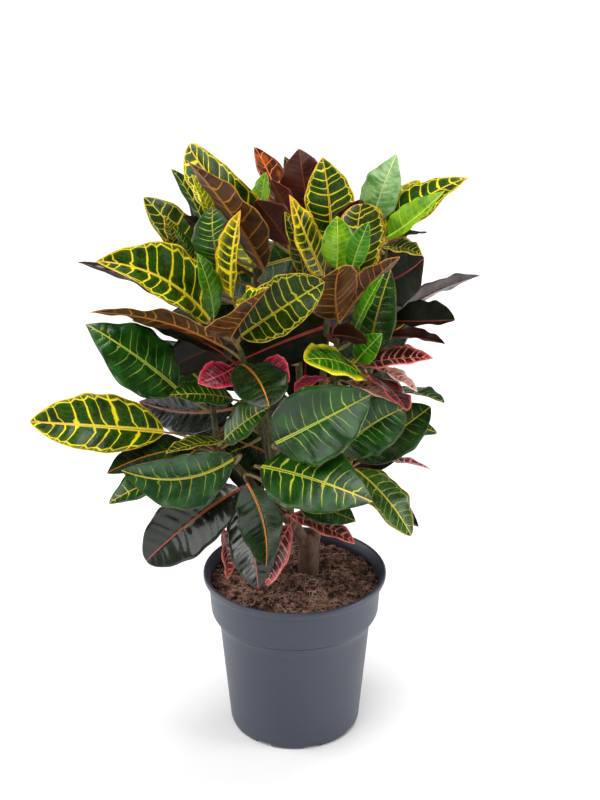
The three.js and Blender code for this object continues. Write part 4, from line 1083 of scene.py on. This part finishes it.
def stem_piece(name, points, skin):
    """A green stem: a tube along its curve, with a slight swelling every 11 mm at the scar of a leaf."""
    shares = np.linspace(0, 1, STEM_RINGS)
    path = curve_points(points, shares)
    run = np.concatenate([[0], np.cumsum(np.linalg.norm(np.diff(path, axis=0), axis=1))])
    scar = np.exp(-(((run % SCAR_SPACING) - 0.5 * SCAR_SPACING) ** 2) / SCAR_WIDE)
    angle = np.linspace(0, 2 * np.pi, STEM_SIDES, endpoint=False)
    lean = 0.12 * np.sin(3 * angle[None, :] + run[:, None] / 9)
    taper = STEM_RADIUS[0] + (STEM_RADIUS[1] - STEM_RADIUS[0]) * shares
    radii = (taper - 0.5 * SCAR_SWELL + SCAR_SWELL * scar)[:, None] + lean
    points, faces = tube(path, radii, STEM_SIDES)
    return make_piece(name, points, faces, skin)


POT_SIDES = 144
FOOT_RISE = 0.6
# Most that a corner of the profile is cut back, and the angle in degrees from which an edge stays sharp
ROUNDING = 1.2
SHARP_EDGE = 38
# Corners of a box from -0.5 to 0.5, and its sides
BOX = [[x, y, z] for x in (-0.5, 0.5) for y in (-0.5, 0.5) for z in (-0.5, 0.5)]
BOX_SIDES = [[0, 1, 3, 2], [4, 6, 7, 5], [0, 4, 5, 1], [2, 3, 7, 6], [0, 2, 6, 4], [1, 5, 7, 3]]


def pot_piece(skin):
    """The pot: its profile of radius and height turned about Z, less the drainage notches at its foot.

    Corners of the profile are rounded by cutting each back to a quadratic curve of up to 1.2 mm.
    """
    inner = BAND_RADIUS - WALL
    profile = [
        (0, FOOT_RISE), (BASE_RADIUS - 16, FOOT_RISE), (BASE_RADIUS - 13, 0), (BASE_RADIUS - 4.5, 0),
        (BASE_RADIUS - 1.5, 1.6), (BASE_RADIUS, 6), (87.1, 130.6), (88.7, 135.4), (91.2, 140),
        (93.7, 143.9), (94.8, 145), (94.2, 145.7), (95.5, 146.5), (BAND_RADIUS - 1.4, 149.6),
        (BAND_RADIUS, 172), (BAND_RADIUS + 1, POT_HEIGHT - 10), (RIM_RADIUS - 1.2, POT_HEIGHT - 8.4),
        (RIM_RADIUS, POT_HEIGHT - 5.5), (RIM_RADIUS - 0.2, POT_HEIGHT - 1.6), (RIM_RADIUS - 2, POT_HEIGHT),
        (RIM_RADIUS - 4, POT_HEIGHT - 0.6), (RIM_RADIUS - 6, POT_HEIGHT - 4),
        (inner + 0.5, 186), (inner - 1.2, 150), (85.6, 132), (84, 118), (BASE_RADIUS - WALL, 9),
        (BASE_RADIUS - 5, FLOOR), (0, FLOOR),
    ]
    p = np.array(profile, float)
    before, corner, after = p[:-2], p[1:-1], p[2:]
    sides_of = np.linalg.norm([corner - before, after - corner], axis=-1)
    cut = np.minimum(ROUNDING, 0.4 * sides_of.min(axis=0))
    enter = corner + unit(before - corner) * cut[:, None]
    leave = corner + unit(after - corner) * cut[:, None]
    p = bezier_points(enter[:, None], corner[:, None], leave[:, None], np.linspace(0, 1, 4)).reshape(-1, 2)
    angle = np.linspace(0, 2 * np.pi, POT_SIDES, endpoint=False)
    ring = np.stack([np.cos(angle), np.sin(angle)], axis=-1)
    height = np.repeat(p[:, None, 1:], POT_SIDES, axis=1)
    points = np.concatenate([p[:, None, :1] * ring[None], height], axis=-1).reshape(-1, 3)
    faces = grid_faces(len(p), POT_SIDES, 0, True).tolist() + cap_faces(len(p), POT_SIDES)
    points = np.vstack([points, [[0, 0, FOOT_RISE], [0, 0, FLOOR]]])
    pot = make_piece("pot_moulding", points, faces, skin)
    boxes = []
    for i in range(NOTCHES):
        turn = NOTCH_TURN + i * 2 * math.pi / NOTCHES
        box = np.array(BOX) * np.array(NOTCH_SIZE) + np.array([0, -(BASE_RADIUS - 1), 2])
        c, s = math.cos(turn), math.sin(turn)
        boxes.append((box @ np.array([[c, s, 0], [-s, c, 0], [0, 0, 1]]), BOX_SIDES))
    cutter_points, cutter_faces = join(boxes)
    cutter = make_piece("notch_cutter", cutter_points, cutter_faces, skin)
    cut = pot.modifiers.new("drainage_notches", "BOOLEAN")
    cut.operation = "DIFFERENCE"
    cut.object = cutter
    cut.solver = "EXACT"
    seen = bpy.context.evaluated_depsgraph_get()
    mesh = bpy.data.meshes.new_from_object(pot.evaluated_get(seen))
    pot.modifiers.clear()
    pot.data = mesh
    bpy.data.objects.remove(cutter)
    mesh.shade_smooth()
    mesh.set_sharp_from_angle(angle=math.radians(SHARP_EDGE))
    return pot


SINES = 9
SINES_PEAK = 4.2


def value_noise(x, y, seed):
    """Smooth lumps, mostly from -1 to 1: a sum of sines with seeded directions and phases."""
    draw = np.random.default_rng(seed)
    total = np.zeros_like(x)
    for _ in range(SINES):
        heading, phase = draw.uniform(0, 2 * np.pi, 2)
        total += np.sin(x * math.cos(heading) + y * math.sin(heading) + phase)
    return total / SINES_PEAK


# Lumps of the soil: height, length of a radian of their waves, and seed
LUMPS = ((1.3, 9, 3), (1.1, 3.6, 5), (0.9, 1.5, 8), (0.6, 0.7, 11))
LUMPS_SINK = 0.6
SOIL_RADIUS = 95.6
SOIL_FLOOR = 4.3
SOIL_SIDES, SOIL_RINGS = 280, 100


def soil_height(x, y):
    """Height of the soil: a low cosine mound, with lumps of 28 to 2 mm that die out at its middle."""
    r = np.hypot(x, y)
    mound = SOIL_EDGE + SOIL_MOUND * (0.5 + 0.5 * np.cos(np.pi * r / (BAND_RADIUS - WALL)))
    lumps = sum(height * value_noise(x / size, y / size, seed) for height, size, seed in LUMPS)
    return mound - LUMPS_SINK + lumps * np.clip(r / 3, 0, 1)


def soil_piece(skin):
    """The soil: rings from the floor up the pot's wall and over the mound."""
    wall = [(70.8, SOIL_FLOOR), (73.5, 9.3), (83.5, 118), (85.1, 132.2), (94.3, 150.2)]
    wall.append((SOIL_RADIUS, SOIL_EDGE - 2))
    angle = np.linspace(0, 2 * np.pi, SOIL_SIDES, endpoint=False)[None, :]
    inward = SOIL_RADIUS * (1 - np.arange(SOIL_RINGS) / SOIL_RINGS)
    radius = np.concatenate([[r for r, _ in wall], inward])[:, None]
    x, y = radius * np.cos(angle), radius * np.sin(angle)
    z = soil_height(x, y)
    z[: len(wall)] = np.array([height for _, height in wall])[:, None]
    rows = len(radius)
    faces = grid_faces(rows, SOIL_SIDES, 0, True).tolist() + cap_faces(rows, SOIL_SIDES)
    caps = [[0, 0, SOIL_FLOOR], [0, 0, soil_height(0.0, 0.0)]]
    points = np.vstack([np.stack([x, y, z], axis=-1).reshape(-1, 3), caps])
    return make_piece("soil_bed", points, faces, skin)


FIBRES = 1000
FIBRE_POINTS, FIBRE_SIDES = 6, 3
FIBRE_RADII = (0.28, 0.1)
FIBRE_LENGTH = (3, 16)
FIBRE_BEND = 1.5
# How far out fibres are drawn, how far out one may end, and how far it keeps from the trunk
FIBRE_SPREAD, FIBRE_REACH, FIBRE_TRUNK_CLEAR = 90, 93, 2
# One turn, in radians
ALL_ROUND = 6.28


def soil_fibres(skin):
    """Dry fibres on the soil: seeded bent strands of 3 to 16 mm, each a thin three-sided tube."""
    draw = np.random.default_rng(4)
    strands = []
    while len(strands) < FIBRES:
        radius = FIBRE_SPREAD * math.sqrt(draw.uniform())
        place, heading = draw.uniform(0, ALL_ROUND), draw.uniform(0, ALL_ROUND)
        length, bend = draw.uniform(*FIBRE_LENGTH), draw.uniform(-FIBRE_BEND, FIBRE_BEND)
        way = np.linspace(-0.5, 0.5, FIBRE_POINTS)
        turned = heading + bend * way
        x = radius * math.cos(place) + length * way * np.cos(turned)
        y = radius * math.sin(place) + length * way * np.sin(turned)
        to_trunk = np.hypot(x - TRUNK_PLACE[0], y - TRUNK_PLACE[1]).min()
        if to_trunk > TRUNK_RADIUS + FIBRE_TRUNK_CLEAR and np.hypot(x, y).max() < FIBRE_REACH:
            rise = draw.uniform(0.2, 1.8) + draw.uniform(0, 3) * (way + 0.5)
            path = np.stack([x, y, soil_height(x, y) + rise], axis=-1)
            radii = np.linspace(*FIBRE_RADII, FIBRE_POINTS) * draw.uniform(0.6, 1.6)
            strands.append(tube(path, radii, FIBRE_SIDES))
    points, faces = join(strands)
    return make_piece("soil_fibres", points, faces, skin)


CRUMBS = 900
CRUMB_REACH, CRUMB_TRUNK_CLEAR = 92, 4
# Half sizes of a crumb, from and to; the share of crumbs that are slivers of bark, and how a sliver is
# stretched
CRUMB_SIZES = ((1.2, 3.2), (0.8, 2.2), (0.6, 1.5))
SLIVERS = 0.22
SLIVER_STRETCH = (2.4, 0.45, 0.6)
# An eight-sided block: its points and its faces
BLOCK = [[1, 0, 0], [-1, 0, 0], [0, 1, 0], [0, -1, 0], [0, 0, 1], [0, 0, -1]]
BLOCK_FACES = [[0, 2, 4], [2, 1, 4], [1, 3, 4], [3, 0, 4], [2, 0, 5], [1, 2, 5], [3, 1, 5], [0, 3, 5]]


def turned_shapes(shape, angle, first, second):
    """Each shape turned by its own angle from the first axis towards the second."""
    c, s = np.cos(angle)[:, None], np.sin(angle)[:, None]
    out = shape.copy()
    out[..., first] = shape[..., first] * c - shape[..., second] * s
    out[..., second] = shape[..., first] * s + shape[..., second] * c
    return out


def soil_crumbs(skin):
    """Crumbs and bark bits on the soil: seeded rough blocks of 2 to 8 mm and slivers of up to 19 mm, each
    squashed, tilted and turned."""
    draw = np.random.default_rng(21)
    r = CRUMB_REACH * np.sqrt(draw.uniform(0, 1, CRUMBS))
    heading = draw.uniform(0, 2 * np.pi, CRUMBS)
    x, y = r * np.cos(heading), r * np.sin(heading)
    to_trunk = np.hypot(x - TRUNK_PLACE[0], y - TRUNK_PLACE[1])
    clear = to_trunk > TRUNK_RADIUS + CRUMB_TRUNK_CLEAR
    x, y = x[clear], y[clear]
    count = len(x)
    z = soil_height(x, y)
    size = np.stack([draw.uniform(low, high, count) for low, high in CRUMB_SIZES], axis=-1)
    size[draw.uniform(0, 1, count) < SLIVERS] *= np.array(SLIVER_STRETCH)
    turn = draw.uniform(0, 2 * np.pi, count)
    tilt = draw.uniform(-0.5, 0.5, count)
    shape = np.array(BLOCK, float)[None] * size[:, None, :] * draw.uniform(0.75, 1.25, (count, 6, 1))
    shape = turned_shapes(turned_shapes(shape, tilt, 0, 2), turn, 0, 1)
    points = (shape + np.stack([x, y, z + 0.5], axis=-1)[:, None, :]).reshape(-1, 3)
    faces = (np.array(BLOCK_FACES)[None] + 6 * np.arange(count)[:, None, None]).reshape(-1, 3)
    piece = make_piece("soil_crumbs", points, faces, skin)
    piece.data.shade_flat()
    return piece


# Rings and sides of the trunk's foot, of a limb and of a stub
FOOT_MESH, LIMB_MESH, STUB_MESH = (70, 28), (50, 20), (24, 14)
# How much thinner the foot is than its solid, so that its knobs stay inside
FOOT_SLACK = 0.4
# How far below a limb's end its stubs part, and how far before its end a stub has its bend
FORK_BELOW, STUB_BEND = 6, 18
# How much thicker than the stem's foot a stub is at its start and end
STUB_THICKER = (0.45, -0.1)


def trunk_piece(skin):
    """The woody trunk: a foot in the soil, two limbs and a stub to each leafy stem, as knobbly tubes."""

    def knobbly(path, thick, sides, seed):
        """A tube whose radius varies by a few hundredths, with lumps and four slowly turning ridges."""
        path = np.asarray(path, float)
        run = np.linspace(0, 1, len(path))[:, None]
        angle = np.linspace(0, 2 * np.pi, sides, endpoint=False)[None, :]
        rough = value_noise(path[:, 2:] / 4.5 + 0 * angle, 2.2 * np.cos(angle) + 0 * run, seed)
        radii = thick + 0.028 * thick * (rough + np.sin(4 * angle + path[:, 2:] / 11))
        return tube(path, radii, sides)

    rings, sides = FOOT_MESH
    height = np.linspace(TRUNK_FOOT, TRUNK_COLLAR, rings)
    foot = np.stack([np.full(rings, TRUNK_PLACE[0]), np.full(rings, TRUNK_PLACE[1]), height], axis=-1)
    shoulder = np.interp(height, *zip(*TRUNK_SHOULDER))
    parts = [knobbly(foot, shoulder[:, None] - FOOT_SLACK, sides, 1)]
    for n, (path, radii, stems) in enumerate(LIMBS):
        rings, sides = LIMB_MESH
        line = curve_points(path, np.linspace(0, 1, rings))
        parts.append(knobbly(line, np.linspace(*radii, rings)[:, None], sides, 30 + n))
        fork = np.array(path[-1], float) - FORK_BELOW * UP
        rings, sides = STUB_MESH
        for k, name in enumerate(stems):
            heading = unit(np.diff(curve_points(STEMS[name], [0, 0.001]), axis=0)[0])
            end = np.array(STEMS[name][0], float) - GAP * heading
            bend = end - STUB_BEND * heading
            stub = bezier_points(fork, bend, end, np.linspace(0, 1, rings))
            thick = STEM_RADIUS[0] + np.linspace(*STUB_THICKER, rings)[:, None]
            parts.append(knobbly(stub, thick, sides, 50 + 7 * n + k))
    points, faces = join(parts)
    return make_piece("woody_trunk", points, faces, skin)


# The plant

plastic = pot_plastic()
soil_skin = peat()
woody = bark("croton_bark", "#453228", "#6c533f", "#554536")
young_bark = bark("green_croton_stem", "#2c2a18", "#5c5634", "#38401c")
for node, made in (
    ("pot", pot_piece(plastic)),
    ("soil", soil_piece(soil_skin)),
    ("soil", soil_crumbs(soil_skin)),
    ("soil", soil_fibres(dry_fibre())),
    ("trunk", trunk_piece(woody)),
):
    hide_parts(node)

skins = {kind: leaf_skin("croton_leaf_" + kind, look) for kind, look in LEAF_LOOKS.items()}
for name, points in STEMS.items():
    made = stem_piece("stem_" + name + "_core", points, young_bark)
    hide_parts("stem_" + name)

shown = table_leaves(LEAVES, 0, PLAIN_SHOWN)
placed = shown + table_leaves(INNER_LEAVES, len(shown), PLAIN_INNER)
numbers = {}
for n, leaf in enumerate(placed + fill_leaves(placed)):
    stem = leaf["stem"]
    numbers[stem] = numbers.get(stem, 0) + 1
    leaf["hidden"] = n >= len(shown)
    if "kind" not in leaf:
        storey = min(3, max(0, int((leaf["base"][2] - LOWEST_STOREY) / STOREY)))
        leaf["kind"] = FILL_KINDS[storey][(n * 3 + storey) % 5]
    name = "%s_%02d" % (stem, numbers[stem])
    if name in TURNED:
        base, tip, width, roll = TURNED[name]
        leaf.update(base=np.array(base, float), tip=np.array(tip, float))
        leaf.update(width=width, roll=math.radians(roll))
    kind = leaf["kind"]
    made = leaf_piece("leaf_" + name, leaf, skins[kind], LEAF_LOOKS[kind])
    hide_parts("stem_" + stem)

# Floor, light and camera


FLOOR_REACH = 40
SOFT_BOX_AIM, SOFT_BOX_SIZE = (0, 0, 0.35), (0.9, 1.4)
# Where the camera stands, how far it looks down and turns to the right in degrees, and its lens
CAMERA_PLACE = (0, -1.520, 1.032)
CAMERA_DOWN, CAMERA_TURN = 22.4, 0.23
SENSOR, LENS = 36, 90
SKY = 0.2


def white_floor():
    """A matt white floor that reaches out of sight."""
    material, tree = new_material("white_floor")
    surface = add(tree, "BsdfPrincipled", Base_Color=(0.9, 0.9, 0.9, 1), Roughness=0.6)
    add(tree, "OutputMaterial", surface)
    mesh = bpy.data.meshes.new("floor")
    corners = [(x * FLOOR_REACH, y * FLOOR_REACH, 0) for x, y in ((-1, -1), (1, -1), (1, 1), (-1, 1))]
    mesh.from_pydata(corners, [], [(0, 1, 2, 3)])
    floor = new_object("floor", mesh)
    floor.data.materials.append(material)


def soft_box(name, place, power):
    """A large soft lamp at that place, aimed at the middle of the plant."""
    light = bpy.data.lights.new(name, "AREA")
    light.shape = "RECTANGLE"
    light.size, light.size_y = SOFT_BOX_SIZE
    light.energy = power
    lamp = new_object(name, light)
    lamp.location = place
    lamp.rotation_euler = (Vector(SOFT_BOX_AIM) - Vector(place)).to_track_quat("-Z", "Y").to_euler()


def soft_sun(name, heading, height, strength, spread):
    """A far soft light: heading and height in degrees, from the front turning to the left."""
    light = bpy.data.lights.new(name, "SUN")
    light.energy = strength
    light.angle = math.radians(spread)
    lamp = new_object(name, light)
    lamp.rotation_euler = (math.radians(90 - height), 0, math.radians(-heading))


white_floor()
soft_sun("key", 40, 54, 2.3, 60)
soft_sun("overhead", -150, 74, 1.9, 30)
soft_box("right", (1.6, -0.4, 0.7), 20)
soft_box("left", (-1.6, 0.1, 0.7), 15)

world = bpy.data.worlds.new("studio")
bpy.context.scene.world = world
world.use_nodes = True
background = world.node_tree.nodes["Background"]
background.inputs[0].default_value = (1, 1, 1, 1)
background.inputs[1].default_value = SKY

eye = bpy.data.cameras.new("camera")
eye.sensor_fit = "HORIZONTAL"
eye.sensor_width = SENSOR
eye.lens = LENS
camera = new_object("camera", eye)
camera.location = CAMERA_PLACE
camera.rotation_euler = (math.radians(90 - CAMERA_DOWN), 0, math.radians(-CAMERA_TURN))
bpy.context.scene.camera = camera
bpy.context.scene.view_settings.view_transform = "Standard"
